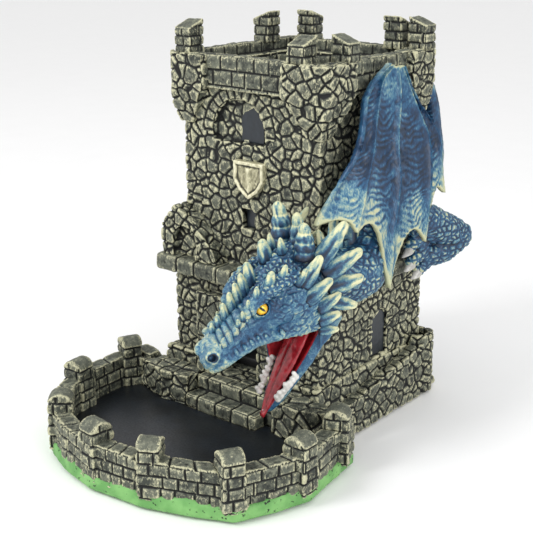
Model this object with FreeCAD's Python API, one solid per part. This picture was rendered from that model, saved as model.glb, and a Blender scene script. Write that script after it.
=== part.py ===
"""Castle dice tower with a dragon: a square stone keep with a dice chute inside, a walled landing tray in
front of its gate, and a dragon that clings to the keep's right and back sides and leans over the tray.

Millimetres. The origin is on the underside, on the vertical axis of the keep. +Z is up, -Y is the side
with the gate and the tray, and +X is the side with the dragon's head.
"""

import FreeCAD
import Part
import math
import os

V = FreeCAD.Vector
UP = V(0, 0, 1)

# Keep
FELT_TOP = 1.0
BASE_TOP = 26.0
STOREY_TOP = 63.0
COURSE_TOP = 70.0
SHAFT_TOP = 147.0
WALK_TOP = 155.0
PARAPET_TOP = 160.0
MERLON_TOP = 173.0
BORE_HALF = 29.0
BASE_HALF_LOW = 47.0
BASE_HALF_HIGH = 42.0
STOREY_HALF = 41.0
STOREY_BACK = 38.0
COURSE_FRONT = 47.0
COURSE_RIGHT = 44.0
COURSE_BACK = 41.0
SHAFT_HALF = 37.0
PARAPET_HALF = 39.5
WALK_HALF = 34.0
MERLON_SIZE = 9.0
MERLON_DROP = 3.5

# Gate, steps and plinths
GATE_LEFT = -17.0
GATE_RIGHT = 11.0
GATE_SILL = 19.0
GATE_SPRING = 36.0
GATE_FRAME_FRONT = -46.0
STEP_FRONT = -50.0
STEP_TREAD = 8.0
STEP_TOP = 12.5

# Bastion on the terrace wall
BASTION_CENTRE = (42, 34)
BASTION_RADIUS = 8.0
BASTION_TOP = 30.0

# Tray
GROUND_TOP = 6.0
MAT_TOP = 7.0
TRAY_WALL_TOP = 21.0
TRAY_WALL_THICKNESS = 7.5
BUTTRESS_TOP = 29.0
BUTTRESS_WIDTH = 9.0
BUTTRESS_PROUD = 3.0

# Chute ramps inside the keep
RAMP_THICKNESS = 3.0
UPPER_RAMP_BACK_Z = 128.0
UPPER_RAMP_LIP = (-4.0, 106.0)
MIDDLE_RAMP_FRONT_Z = 98.0
MIDDLE_RAMP_LIP = (4.0, 76.0)
EXIT_RAMP_BACK_Z = 54.0
EXIT_RAMP_FRONT_Z = 23.0

# Dragon
FORE_TOES = [(15, 77), (17, 70), (23, 65)]
HIND_TOES = [(1, 76), (3, 69), (9, 64)]
EYE_RADIUS = 3.2
HEAD_PIVOT = V(49, -50, 62)
HEAD_HEADING = V(-0.30, -0.95, 0)
HEAD_PITCH = math.radians(25)

# The tray's outer edge, from its left end beside the keep round the front to its right end
TRAY_EDGE = [
    (-60, -42),
    (-64, -60),
    (-63, -80),
    (-56, -100),
    (-42, -117),
    (-24, -125),
    (-5, -129),
    (22, -126),
    (41, -119),
    (56, -112),
    (63, -97),
    (68, -82),
    (65, -62),
    (63, -46),
]
BUTTRESS_PLACES = [
    (-58, -55),
    (-56, -88),
    (-36, -115),
    (-5, -124),
    (22, -121),
    (52, -110),
    (64, -83),
    (61, -55),
]


def polygon(points, z):
    return Part.makePolygon([V(x, y, z) for x, y in points] + [V(*points[0], z)])


def prism(points, z_low, z_high):
    return Part.Face(polygon(points, z_low)).extrude(V(0, 0, z_high - z_low))


def box(x0, y0, z0, x1, y1, z1):
    return Part.makeBox(x1 - x0, y1 - y0, z1 - z0, V(x0, y0, z0))


def square(half):
    return [(-half, -half), (half, -half), (half, half), (-half, half)]


def taper(low_points, z_low, high_points, z_high):
    return Part.makeLoft([polygon(low_points, z_low), polygon(high_points, z_high)], True, True)


def bore(z_low, z_high, half=BORE_HALF):
    return prism(square(half), z_low, z_high)


def profile_yz(points, x0, x1):
    """A solid with the outline points, given as (y, z), between two x planes."""
    wire = Part.makePolygon([V(x0, y, z) for y, z in points] + [V(x0, *points[0])])
    return Part.Face(wire).extrude(V(x1 - x0, 0, 0))


def profile_xz(points, y0, y1):
    """A solid with the outline points, given as (x, z), between two y planes."""
    wire = Part.makePolygon([V(x, y0, z) for x, z in points] + [V(points[0][0], y0, points[0][1])])
    return Part.Face(wire).extrude(V(0, y1 - y0, 0))


def arch(x0, x1, z0, spring, y0, y1):
    """A round-headed opening through the front wall."""
    radius = (x1 - x0) / 2
    head = Part.makeCylinder(radius, y1 - y0, V((x0 + x1) / 2, y0, spring), V(0, 1, 0))
    head = head.common(box(x0, y0, spring, x1, y1, spring + radius))
    return box(x0, y0, z0, x1, y1, spring).fuse(head).removeSplitter()


def side_arch(y0, y1, z0, spring, x0, x1):
    """A round-headed opening through the right wall."""
    radius = (y1 - y0) / 2
    head = Part.makeCylinder(radius, x1 - x0, V(x0, (y0 + y1) / 2, spring), V(1, 0, 0))
    head = head.common(box(x0, y0, spring, x1, y1, spring + radius))
    return box(x0, y0, z0, x1, y1, spring).fuse(head).removeSplitter()


def inset(points, distance):
    """The outline moved inwards by distance."""
    face = Part.Face(polygon(points, 0))
    return face.makeOffset2D(-distance, 2)


def group(solids):
    return Part.makeCompound([s for shape in solids for s in shape.Solids])


# ---------------------------------------------------------------- keep


def base_outline():
    half = BASE_HALF_LOW
    return [(-50, -44), (half, -44), (half, 45), (-half, 45)]


def footprint():
    """The tray and the keep's foot as one outline."""
    corner = [(BASE_HALF_LOW, -40), (BASE_HALF_LOW, 45), (-BASE_HALF_LOW, 45), (-50, -40)]
    return TRAY_EDGE + corner


def make_base_felt():
    foot = inset(footprint(), 2.5)
    return foot.extrude(V(0, 0, FELT_TOP))


def make_tower_base():
    high = [(-44, -44), (BASE_HALF_HIGH, -44), (BASE_HALF_HIGH, 42), (-44, 42)]
    outer = taper(base_outline(), FELT_TOP, high, BASE_TOP)
    channel = box(GATE_LEFT, -60, GATE_SILL, GATE_RIGHT, 0, BASE_TOP)
    chute = box(-BORE_HALF, -BORE_HALF, GATE_SILL, BORE_HALF, BORE_HALF, BASE_TOP)
    return outer.cut(channel).cut(chute)


def storey_outline():
    half = STOREY_HALF
    return [(-half, -half), (half, -half), (half, STOREY_BACK), (-half, STOREY_BACK)]


def side_window(x0, x1):
    """The round-headed window in the right wall of the lower storey."""
    return side_arch(-1, 10, 27, 43, x0, x1)


def make_lower_storey():
    outer = prism(storey_outline(), BASE_TOP, STOREY_TOP)
    gate = arch(GATE_LEFT, GATE_RIGHT, BASE_TOP, GATE_SPRING, -60, 0)
    window = side_window(STOREY_HALF - 4, STOREY_HALF + 5)
    return outer.cut(bore(BASE_TOP, STOREY_TOP)).cut(gate).cut(window)


def make_gate_surround():
    """The arched stone frame that stands proud of the front wall round the gate."""
    block = box(GATE_LEFT - 7, GATE_FRAME_FRONT, GATE_SILL, GATE_RIGHT + 7, -STOREY_HALF, 57)
    gate = arch(GATE_LEFT, GATE_RIGHT, GATE_SILL, GATE_SPRING, -60, 0)
    below = box(-60, -44, 0, 60, 0, BASE_TOP)
    return block.cut(gate).cut(below)


def make_string_course():
    front = -COURSE_FRONT
    plan = [(front, front), (COURSE_RIGHT, front), (COURSE_RIGHT, COURSE_BACK), (front, COURSE_BACK)]
    return prism(plan, STOREY_TOP, COURSE_TOP).cut(bore(STOREY_TOP, COURSE_TOP))


def make_corner_turret():
    """The half turret on the front left corner, whose roof slopes down to the right."""
    front = profile_xz([(-45, 70), (-45, 84), (-37, 94), (-26, 88), (-15, 77), (-12, 70)], -45, -SHAFT_HALF)
    side = profile_xz([(-45, 70), (-45, 84), (-37, 94), (-SHAFT_HALF, 70)], -SHAFT_HALF, -22)
    niche = arch(-38, -25, 70, 78, -50, -41)
    keep = prism(square(SHAFT_HALF), COURSE_TOP, SHAFT_TOP)
    return front.fuse(side).removeSplitter().cut(niche).cut(keep)


def make_tower_shaft():
    outer = prism(square(SHAFT_HALF), COURSE_TOP, SHAFT_TOP)
    upper_niche = arch(-20, 8, 124, 128, -SHAFT_HALF - 1, -SHAFT_HALF + 3)
    upper_window = arch(-5, 6, 125, 133, -SHAFT_HALF, -SHAFT_HALF + 5)
    lower_window = box(-4, -SHAFT_HALF - 1, 87, 2, -SHAFT_HALF + 4, 96)
    shaft = outer.cut(bore(COURSE_TOP, SHAFT_TOP))
    return shaft.cut(upper_niche).cut(upper_window).cut(lower_window)


def make_window_panes():
    upper = arch(-5, 6, 125, 133, -SHAFT_HALF + 4, -SHAFT_HALF + 5)
    lower = box(-4, -SHAFT_HALF + 3, 87, 2, -SHAFT_HALF + 4, 96)
    side = side_window(STOREY_HALF - 4, STOREY_HALF - 3)
    return group([upper, lower, side])


def make_wall_shield():
    """A plain heater shield in relief on the front wall."""
    outline = [(-7, 117), (9, 117), (9, 109), (6, 104.5), (1, 101), (-4, 104.5), (-7, 109)]
    return profile_xz(outline, -SHAFT_HALF - 2.5, -SHAFT_HALF)


def make_parapet():
    outer = prism(square(PARAPET_HALF), SHAFT_TOP, PARAPET_TOP)
    walk = bore(WALK_TOP, PARAPET_TOP, WALK_HALF)
    return outer.cut(bore(SHAFT_TOP, WALK_TOP)).cut(walk)


def make_corner_bartizans():
    """The corbelled bulge on each corner of the keep's head."""
    solids = []
    keep = prism(square(SHAFT_HALF), 100, SHAFT_TOP).fuse(prism(square(PARAPET_HALF), SHAFT_TOP, PARAPET_TOP))
    out = PARAPET_HALF + 3.5
    chamfer = 5.0
    length = 22.0
    for sx, sy in [(1, -1), (-1, -1), (1, 1), (-1, 1)]:
        plan = [(0, 0), (length, 0), (length, length - chamfer), (length - chamfer, length), (0, length)]
        high = [(sx * (out - length + x), sy * (out - length + y)) for x, y in plan]
        low = [(sx * (SHAFT_HALF - 10 + 0.5 * x), sy * (SHAFT_HALF - 10 + 0.5 * y)) for x, y in plan]
        if sx * sy < 0:
            high = high[::-1]
            low = low[::-1]
        corbel = taper(low, 130, high, SHAFT_TOP)
        solids.append(corbel.fuse(prism(high, SHAFT_TOP, PARAPET_TOP)).removeSplitter().cut(keep))
    return group(solids)


def merlon(x, y, out_x, out_y, top):
    """One merlon, whose top slopes down outwards."""
    half = MERLON_SIZE / 2
    along = V(out_x, out_y, 0)
    across = V(-out_y, out_x, 0)
    middle = V(x, y, 0)
    corners = [(-half, PARAPET_TOP), (half, PARAPET_TOP), (half, top - MERLON_DROP), (-half, top)]
    points = [middle + along * reach + across * half + UP * z for reach, z in corners]
    return Part.Face(Part.makePolygon(points + points[:1])).extrude(across * -MERLON_SIZE)


def make_parapet_merlons():
    low_top = MERLON_TOP - 3
    places = [
        (26.5, -36, 0, -1, low_top),
        (-34, -36, 0, -1, MERLON_TOP),
        (36, -19.5, 1, 0, low_top),
        (36.5, 36.5, 1, 0, MERLON_TOP),
        (24, 36, 0, 1, MERLON_TOP),
        (-36, 18.5, -1, 0, MERLON_TOP),
        (-24, 36, 0, 1, MERLON_TOP),
    ]
    return group([merlon(*place) for place in places])


def make_terrace_wall():
    """The low wall along the right side that climbs to a round bastion at the back corner."""
    low = FELT_TOP
    wall = profile_yz([(-44, low), (-44, 16), (-26, 17), (10, 23), (32, 27), (32, low)], 43, 49)
    bastion = Part.makeCylinder(BASTION_RADIUS, BASTION_TOP - low, V(*BASTION_CENTRE, low), UP)
    hollow = Part.makeCylinder(BASTION_RADIUS - 3, 8, V(*BASTION_CENTRE, BASTION_TOP - 5), UP)
    storey = prism(storey_outline(), BASE_TOP, STOREY_TOP)
    return wall.fuse(bastion).cut(hollow).cut(make_tower_base()).cut(storey)


def make_right_gate_plinth():
    return prism([(26, -54), (40, -57), (52, -52), (52, -44), (26, -44)], GROUND_TOP, 22)


def make_left_gate_plinth():
    return prism([(-52, -44), (-52, -54), (-34, -59), (-20, -57), (-20, -44)], GROUND_TOP, 20)


def make_entry_steps():
    top = box(-20, STEP_FRONT, GROUND_TOP, 26, -44, GATE_SILL)
    lower = box(-20, STEP_FRONT - STEP_TREAD, GROUND_TOP, 20, STEP_FRONT, STEP_TOP)
    return top.fuse(lower).removeSplitter()


# ---------------------------------------------------------------- tray


def tray_outline():
    return TRAY_EDGE + [(BASE_HALF_LOW, -44), (-50, -44)]


def keep_foot():
    return prism(base_outline(), 0, BASE_TOP)


def make_tray_ground():
    return prism(tray_outline(), FELT_TOP, GROUND_TOP).cut(keep_foot())


def wall_ring(z_low, z_high):
    outer = prism(tray_outline(), z_low, z_high)
    room = inset(tray_outline(), TRAY_WALL_THICKNESS)
    room.translate(V(0, 0, z_low))
    inner = room.extrude(V(0, 0, z_high - z_low))
    behind = box(-48.5, -60, z_low, 47, -30, z_high)
    return outer.cut(inner).cut(behind)


def make_tray_wall():
    solid = wall_ring(GROUND_TOP, TRAY_WALL_TOP)
    plinths = make_left_gate_plinth().fuse(make_right_gate_plinth())
    return solid.cut(keep_foot()).cut(plinths)


def make_tray_mat():
    room = inset(tray_outline(), TRAY_WALL_THICKNESS)
    room.translate(V(0, 0, GROUND_TOP))
    mat = room.extrude(V(0, 0, MAT_TOP - GROUND_TOP))
    blocks = [make_left_gate_plinth(), make_right_gate_plinth(), make_entry_steps(), keep_foot(), make_tray_wall()]
    for block in blocks:
        mat = mat.cut(block)
    return group([mat])


def buttress(x, y):
    """A round-headed block across the tray wall, with a cap stone."""
    centre = V(0, -82, 0)
    outward = V(x, y, 0) - centre
    angle = math.degrees(math.atan2(outward.y, outward.x))
    half = BUTTRESS_WIDTH / 2
    depth = TRAY_WALL_THICKNESS + BUTTRESS_PROUD
    radius = depth / 2
    shoulder = BUTTRESS_TOP - radius
    body = box(-radius, -half, GROUND_TOP, radius, half, shoulder)
    head = Part.makeCylinder(radius, BUTTRESS_WIDTH, V(0, -half, shoulder), V(0, 1, 0))
    block = body.fuse(head).removeSplitter()
    block.rotate(V(0, 0, 0), UP, angle)
    block.translate(V(x, y, 0))
    return block


def make_tray_buttresses():
    wall = make_tray_wall()
    mat = make_tray_mat()
    plinths = make_left_gate_plinth().fuse(make_right_gate_plinth())
    blocks = [buttress(x, y).cut(wall).cut(mat).cut(plinths).cut(keep_foot()) for x, y in BUTTRESS_PLACES]
    return group(blocks)


# ---------------------------------------------------------------- ramps


def ramp(high, low):
    """A sloping plate across the bore between two (y, z) points of its top face."""
    drop = RAMP_THICKNESS
    points = [high, low, (low[0], low[1] - drop), (high[0], high[1] - drop)]
    return profile_yz(points, -BORE_HALF, BORE_HALF)


def make_upper_ramp():
    return ramp((BORE_HALF, UPPER_RAMP_BACK_Z), UPPER_RAMP_LIP)


def make_middle_ramp():
    return ramp((-BORE_HALF, MIDDLE_RAMP_FRONT_Z), MIDDLE_RAMP_LIP)


def make_exit_ramp():
    back = (BORE_HALF, EXIT_RAMP_BACK_Z)
    front = (-BORE_HALF, EXIT_RAMP_FRONT_Z)
    return profile_yz([(BORE_HALF, GATE_SILL), back, front, (-BORE_HALF, GATE_SILL)], -BORE_HALF, BORE_HALF)


# ---------------------------------------------------------------- dragon


def head_axes():
    """Forward along the head, across it towards its left cheek, and up through its crown."""
    heading = V(HEAD_HEADING).normalize()
    forward = heading * math.cos(HEAD_PITCH) - UP * math.sin(HEAD_PITCH)
    side = V(-heading.y, heading.x, 0)
    return forward, side, forward.cross(side)


FORWARD, SIDE, CROWN = head_axes()


def at_head(t, s, v):
    """A point given along, across and above the head's own axis."""
    return HEAD_PIVOT + FORWARD * t + SIDE * s + CROWN * v


def ellipse_wire(centre, across, up, half_across, half_up):
    """A closed elliptical section, as a smooth curve through points."""
    count = 12
    points = []
    for i in range(count):
        a = 2 * math.pi * i / count
        points.append(centre + across * (half_across * math.cos(a)) + up * (half_up * math.sin(a)))
    curve = Part.BSplineCurve()
    curve.interpolate(points, True)
    return Part.Wire(curve.toShape())


def skull_loft(sections):
    """Sections are (t, centre v, half width, half height) along the head's axis."""
    wires = [ellipse_wire(at_head(t, 0, v), SIDE, CROWN, hw, hh) for t, v, hw, hh in sections]
    return Part.makeLoft(wires, True, False)


def limb(points, radii, flat=1.0):
    """A tapering limb through the points. flat is the sections' height over their width."""
    centres = [V(*p) for p in points]
    wires = []
    for i, centre in enumerate(centres):
        before = centres[max(i - 1, 0)]
        after = centres[min(i + 1, len(centres) - 1)]
        along = (after - before).normalize()
        across = along.cross(UP)
        across = V(1, 0, 0) if across.Length < 0.2 else across.normalize()
        wires.append(ellipse_wire(centre, across, across.cross(along), radii[i], radii[i] * flat))
    return Part.makeLoft(wires, True, False)


def spike(base, tip, radius, end_radius=0.5):
    """A tapering spike with eight flat sides."""
    along = (tip - base).normalize()
    across = along.cross(V(1, 0.3, 0.2)).normalize()
    other = along.cross(across)
    wires = []
    for centre, reach in [(base, radius), (tip, end_radius)]:
        angles = [math.radians(45 * i) for i in range(8)]
        ring = [centre + across * (reach * math.cos(a)) + other * (reach * math.sin(a)) for a in angles]
        wires.append(Part.makePolygon(ring + ring[:1]))
    return Part.makeLoft(wires, True, True)


def seated(shape, hosts):
    """The shape with what lies inside its hosts taken away, so that it only touches them."""
    for host in hosts:
        shape = shape.cut(host)
    return max(shape.Solids, key=lambda solid: solid.Volume)


def head_spikes(rows, hosts):
    """Spikes given as base (t, s, v), tip (t, s, v) and radius, seated on the hosts that they grow from."""
    return [seated(spike(at_head(*base), at_head(*tip), radius), hosts) for base, tip, radius in rows]


def make_head():
    return skull_loft(
        [
            (-5, 25, 10, 10),
            (3, 23.5, 13, 14),
            (14, 22.5, 13, 13.5),
            (25, 22.5, 10, 9.5),
            (36, 21.5, 7.5, 7),
            (45, 20, 7, 6),
            (50, 18, 5, 4),
        ]
    )


def make_jaw():
    return skull_loft(
        [(-2, 6, 10, 5), (6, 1, 10, 4), (16, -6, 8.5, 3.5), (26, -11.5, 6.5, 3), (34, -15, 4, 2)]
    )


def make_tongue():
    return skull_loft([(6, 7, 4.6, 1.2), (16, 0.2, 5.2, 1.2), (26, -6.5, 4.4, 1.2), (36, -13, 2.6, 1), (40, -18, 1.2, 0.8)])


def make_teeth(jaw, tongue):
    rows = []
    for side in (-1, 1):
        for t, v in [(18, -2.5), (21, -4.5), (24, -6.5), (27, -8.5), (30, -10.5)]:
            base = at_head(t, side * (8.2 - 0.28 * (t - 16)), v - 2.5)
            rows.append(seated(spike(base, base + CROWN * 4.2, 1.4, 0.7), [jaw, tongue]))
    return rows


def make_horns(hosts):
    rows = [((0, -8, 34), (-6, -9, 50), 4.2), ((1, 8, 33), (-4, 9, 47), 4.2), ((-3, 1, 33), (-8, 1, 47), 3.6)]
    return head_spikes(rows, hosts)


def make_crest(hosts):
    """The midline row from the crown to the nose, each spike smaller than the last."""
    rows = []
    for i in range(9):
        t = 8 + 4.6 * i
        v = 35.5 - 0.0075 * (t - 8) ** 2 - 0.06 * (t - 8)
        size = 1 - 0.085 * i
        rows.append(((t, 0, v - 4), (t - 2 * size, 0, v + 1 + 8.5 * size), 3.2 * size))
    return head_spikes(rows, hosts)


def make_cheek_spikes(hosts):
    """The fan of long spikes behind each cheek."""
    rows = []
    for side in (-1, 1):
        for i in range(7):
            angle = math.radians(62 - 17 * i)
            reach = 21 if i % 2 == 0 else 16
            v = 29.4 - 4.35 * i
            base = (2.3, side * 10.2, v)
            tip = (2 - reach * math.cos(angle), side * (12 + 0.3 * i), v + reach * math.sin(angle))
            rows.append((base, tip, 3.1))
    return head_spikes(rows, hosts)


def make_brow_spikes(hosts):
    rows = []
    for side in (-1, 1):
        for t, v in [(30, 29), (25, 32), (18, 34), (12, 35)]:
            rows.append(((t, side * 7, v - 5), (t - 2, side * 9, v + 3), 1.8))
    return head_spikes(rows, hosts)


def make_eyes():
    """Whole balls that sit in sockets in the head."""
    return [Part.makeSphere(EYE_RADIUS, at_head(25, side * 9.2, 26.5)) for side in (-1, 1)]


def make_neck():
    return limb(
        [(48.5, -43, 79), (50, -34, 77), (50.5, -23, 80), (46.5, -9, 93), (45, 3, 99)],
        [10, 11.5, 12, 11.5, 11.5],
    )


def make_body():
    return limb(
        [(45, 3, 99), (44, 14, 101), (40, 26, 103), (34, 35, 106), (24, 40, 108), (10, 43, 105), (-6, 43, 97)],
        [11.5, 12, 12.5, 11.5, 12, 13, 11.5],
    )


def make_tail():
    return limb(
        [(-6, 43, 97), (-22, 44, 84), (-30, 45, 66), (-24, 46, 48), (-8, 47, 36), (12, 48, 30), (30, 48, 25)],
        [11.5, 9.5, 8, 7, 6, 4.5, 2.5],
    )


def make_foreleg():
    upper = limb([(51, 16, 90), (55, 28, 84), (58.5, 38, 79)], [8, 7.5, 6])
    lower = limb([(58.5, 38, 79), (54, 32, 72), (50, 24, 71)], [6, 6, 5.5])
    toes = []
    for y, z in FORE_TOES:
        toes.append(limb([(51, 24, 72), (50, y, z + 3), (49.5, y - 4, z)], [4, 3.4, 2.6]))
    shape = upper.fuse(lower)
    for toe in toes:
        shape = shape.fuse(toe)
    return shape


def make_foreleg_claws(foreleg):
    rows = []
    for y, z in FORE_TOES:
        base = V(49.5, y - 3, z + 0.5)
        rows.append(seated(spike(base, base + V(-1, -5, -3.5), 2.4, 0.6), [foreleg]))
    return rows


def make_hind_leg():
    upper = limb([(10, 49, 98), (17, 54, 90), (20, 56, 80)], [9, 8, 6.5])
    lower = limb([(20, 56, 80), (16, 52, 73), (8, 48, 70)], [6.5, 6, 5])
    toes = []
    for x, z in HIND_TOES:
        toes.append(limb([(9, 48, 71), (x, 47, z + 3), (x - 4, 46.5, z)], [4, 3.2, 2.6]))
    shape = upper.fuse(lower)
    for toe in toes:
        shape = shape.fuse(toe)
    return shape


def make_hind_claws(hind_leg):
    rows = []
    for x, z in HIND_TOES:
        base = V(x - 3, 46.5, z + 0.5)
        rows.append(seated(spike(base, base + V(-5, 0.5, -3.5), 2.4, 0.6), [hind_leg]))
    return rows


# The wing on the right wall, as (y, z) points
LEFT_WING = [
    (-8, 158),
    (2, 157),
    (12, 146),
    (22, 128),
    (31, 110),
    (29, 99),
    (22, 92),
    (20, 82),
    (10, 86),
    (-2, 80),
    (-9, 67),
    (-15, 84),
    (-26, 90),
    (-40, 92),
    (-51, 96),
    (-50, 102),
    (-44, 109),
    (-36, 121),
    (-26, 137),
    (-20, 148),
]


# The wing on the back wall, as (x, z) points
RIGHT_WING = [
    (24, 157),
    (14, 156),
    (2, 146),
    (-10, 128),
    (-20, 110),
    (-19, 98),
    (-13, 92),
    (-11, 80),
    (-2, 86),
    (8, 80),
    (14, 68),
    (20, 84),
    (30, 92),
    (36, 96),
    (38, 110),
    (39, 124),
    (36, 142),
]
# How far a wing stands out from the keep's axis at each height
WING_SECTION = [(39.6, 160), (45, 160), (55, 110), (60, 60), (54, 60), (49, 110), (42, 140)]


def make_left_wing():
    """The wing on the right wall, hanging like a folded umbrella from its wrist at the top."""
    return profile_yz(LEFT_WING, 30, 80).common(profile_xz(WING_SECTION, -60, 60))


def make_right_wing():
    """The wing on the back wall."""
    return profile_xz(RIGHT_WING, 30, 80).common(profile_yz(WING_SECTION, -60, 60))


def make_neck_spines(hosts):
    """Leaf-shaped spines along the back of the neck."""
    rows = [
        (V(46, -38, 86), V(44, -36, 103), 3.6),
        (V(47, -29, 85), V(44, -26, 104), 4.0),
        (V(48, -20, 86), V(44, -16, 104), 3.6),
    ]
    return [seated(spike(base, tip, radius), hosts) for base, tip, radius in rows]


# ---------------------------------------------------------------- the parts


def keep_nodes():
    return {
        "base_felt": make_base_felt(),
        "tower_base": make_tower_base(),
        "lower_storey": make_lower_storey(),
        "gate_surround": make_gate_surround(),
        "string_course": make_string_course(),
        "corner_turret": make_corner_turret(),
        "tower_shaft": make_tower_shaft(),
        "window_panes": make_window_panes(),
        "wall_shield": make_wall_shield(),
        "parapet": make_parapet(),
        "corner_bartizans": make_corner_bartizans(),
        "parapet_merlons": make_parapet_merlons(),
        "terrace_wall": make_terrace_wall(),
        "left_gate_plinth": make_left_gate_plinth(),
        "right_gate_plinth": make_right_gate_plinth(),
        "entry_steps": make_entry_steps(),
        "tray_ground": make_tray_ground(),
        "tray_wall": make_tray_wall(),
        "tray_buttresses": make_tray_buttresses(),
        "tray_mat": make_tray_mat(),
        "upper_ramp": make_upper_ramp(),
        "middle_ramp": make_middle_ramp(),
        "exit_ramp": make_exit_ramp(),
    }


def keep_envelope():
    """What the dragon's pieces are trimmed against: the keep as if it had no chute or windows."""
    blocks = [
        taper(base_outline(), FELT_TOP, square(BASE_HALF_HIGH), BASE_TOP),
        prism(storey_outline(), BASE_TOP, STOREY_TOP),
        make_string_course(),
        prism(square(SHAFT_HALF), STOREY_TOP, SHAFT_TOP),
        prism(square(PARAPET_HALF), SHAFT_TOP, PARAPET_TOP),
    ]
    return blocks + make_corner_bartizans().Solids + make_terrace_wall().Solids


def trimmed(shape, blocks):
    """The largest solid of shape that is left outside the blocks that come near it."""
    return seated(shape, [block for block in blocks if shape.BoundBox.intersect(block.BoundBox)])


def dragon_nodes():
    walls = keep_envelope()
    body = trimmed(make_body(), walls)
    neck = trimmed(make_neck(), walls + [body])
    tail = trimmed(make_tail(), walls + [body])
    head = trimmed(make_head(), [neck] + make_eyes())
    jaw = trimmed(make_jaw(), [head, neck])
    tongue = trimmed(make_tongue(), [jaw, head])
    foreleg = trimmed(make_foreleg(), walls + [body])
    hind_leg = trimmed(make_hind_leg(), walls + [body, tail])
    hosts = [head, neck]
    left_wing = trimmed(make_left_wing(), walls + [body, neck, foreleg, head])
    right_wing = trimmed(make_right_wing(), walls + [body, tail, hind_leg])
    return {
        "dragon_body": body,
        "dragon_neck": neck,
        "dragon_tail": tail,
        "dragon_head": head,
        "dragon_lower_jaw": jaw,
        "dragon_tongue": tongue,
        "dragon_teeth": group(make_teeth(jaw, tongue)),
        "dragon_eyes": group(make_eyes()),
        "dragon_horns": group(make_horns(hosts)),
        "crest_spikes": group(make_crest(hosts)),
        "cheek_spikes": group(make_cheek_spikes(hosts)),
        "brow_spikes": group(make_brow_spikes(hosts)),
        "neck_spines": group(make_neck_spines(hosts)),
        "left_wing": left_wing,
        "right_wing": right_wing,
        "foreleg": foreleg,
        "foreleg_claws": group(make_foreleg_claws(foreleg)),
        "hind_leg": hind_leg,
        "hind_leg_claws": group(make_hind_claws(hind_leg)),
    }


def main():
    os.makedirs("parts", exist_ok=True)
    nodes = keep_nodes()
    nodes.update(dragon_nodes())
    for name, shape in nodes.items():
        print(name, len(shape.Solids), shape.isValid(), round(shape.Volume / 1000, 1))
        shape.exportStep("parts/" + name + ".step")


main()
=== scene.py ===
"""Looks for the castle dice tower: carved stone, painted grass, and the blue dragon.

Lengths are millimetres in the CAD's own frame until a mesh is made, which is in metres. Every piece starts
as a distance field (negative inside) or as rings or rows of points, is carved by moving its vertices, and is
then painted the way the real casting is: dark in the hollows and pale on whatever stands proud.
"""

import bpy
import math
import numpy as np
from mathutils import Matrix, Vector


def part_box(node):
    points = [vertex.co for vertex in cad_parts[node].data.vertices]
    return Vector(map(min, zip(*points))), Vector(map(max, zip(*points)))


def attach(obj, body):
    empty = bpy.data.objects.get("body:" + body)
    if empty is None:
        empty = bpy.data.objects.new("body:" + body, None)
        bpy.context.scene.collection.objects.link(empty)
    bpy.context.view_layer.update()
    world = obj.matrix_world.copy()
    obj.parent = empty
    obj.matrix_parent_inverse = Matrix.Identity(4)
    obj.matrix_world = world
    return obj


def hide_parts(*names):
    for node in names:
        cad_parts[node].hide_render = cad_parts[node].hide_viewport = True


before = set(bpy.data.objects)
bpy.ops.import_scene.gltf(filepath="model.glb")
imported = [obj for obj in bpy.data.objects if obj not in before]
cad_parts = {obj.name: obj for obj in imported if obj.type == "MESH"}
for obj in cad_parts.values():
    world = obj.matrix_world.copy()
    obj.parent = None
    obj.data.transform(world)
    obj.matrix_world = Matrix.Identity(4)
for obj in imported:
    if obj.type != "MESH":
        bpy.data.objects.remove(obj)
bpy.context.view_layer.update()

MM = 0.001
COARSE = 1.0
STONE_VOXEL = 0.5 * COARSE
WALL_VOXEL = 0.56 * COARSE
SKIN_VOXEL = 0.48 * COARSE
HEAD_VOXEL = 0.3 * COARSE
# What a field holds where nothing has been added
FAR = 50.0


def box_mm(node):
    """A CAD node's lowest and highest corners, in millimetres."""
    low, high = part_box(node)
    return np.array(low) / MM, np.array(high) / MM


# ---------------------------------------------------------------- noise


def hashed(cells, salt):
    """A value from 0 to 1 for each row of whole numbers."""
    x, y, z = (cells[..., i].astype(np.int64) for i in range(3))
    h = (x * 73856093) ^ (y * 19349663) ^ (z * 83492791) ^ (salt * 40503 + 977)
    h = (h ^ (h >> 13)) * 1274126177
    h = (h ^ (h >> 16)) & 0xFFFFFF
    return h / float(0xFFFFFF)


def noise(points, size, salt=0):
    """Smooth noise from -1 to 1 with features about size across."""
    p = np.asarray(points, float) / size
    whole = np.floor(p)
    f = p - whole
    f = f * f * (3 - 2 * f)
    total = np.zeros(len(p))
    for corner in np.ndindex(2, 2, 2):
        weight = np.ones(len(p))
        for i in range(3):
            weight *= f[:, i] if corner[i] else 1 - f[:, i]
        total += weight * hashed(whole + np.array(corner), salt)
    return 2 * total - 1


def smoothstep(low, high, x):
    """0 at low and 1 at high, with a smooth rise between."""
    t = np.clip((x - low) / (high - low), 0, 1)
    return t * t * (3 - 2 * t)


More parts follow.
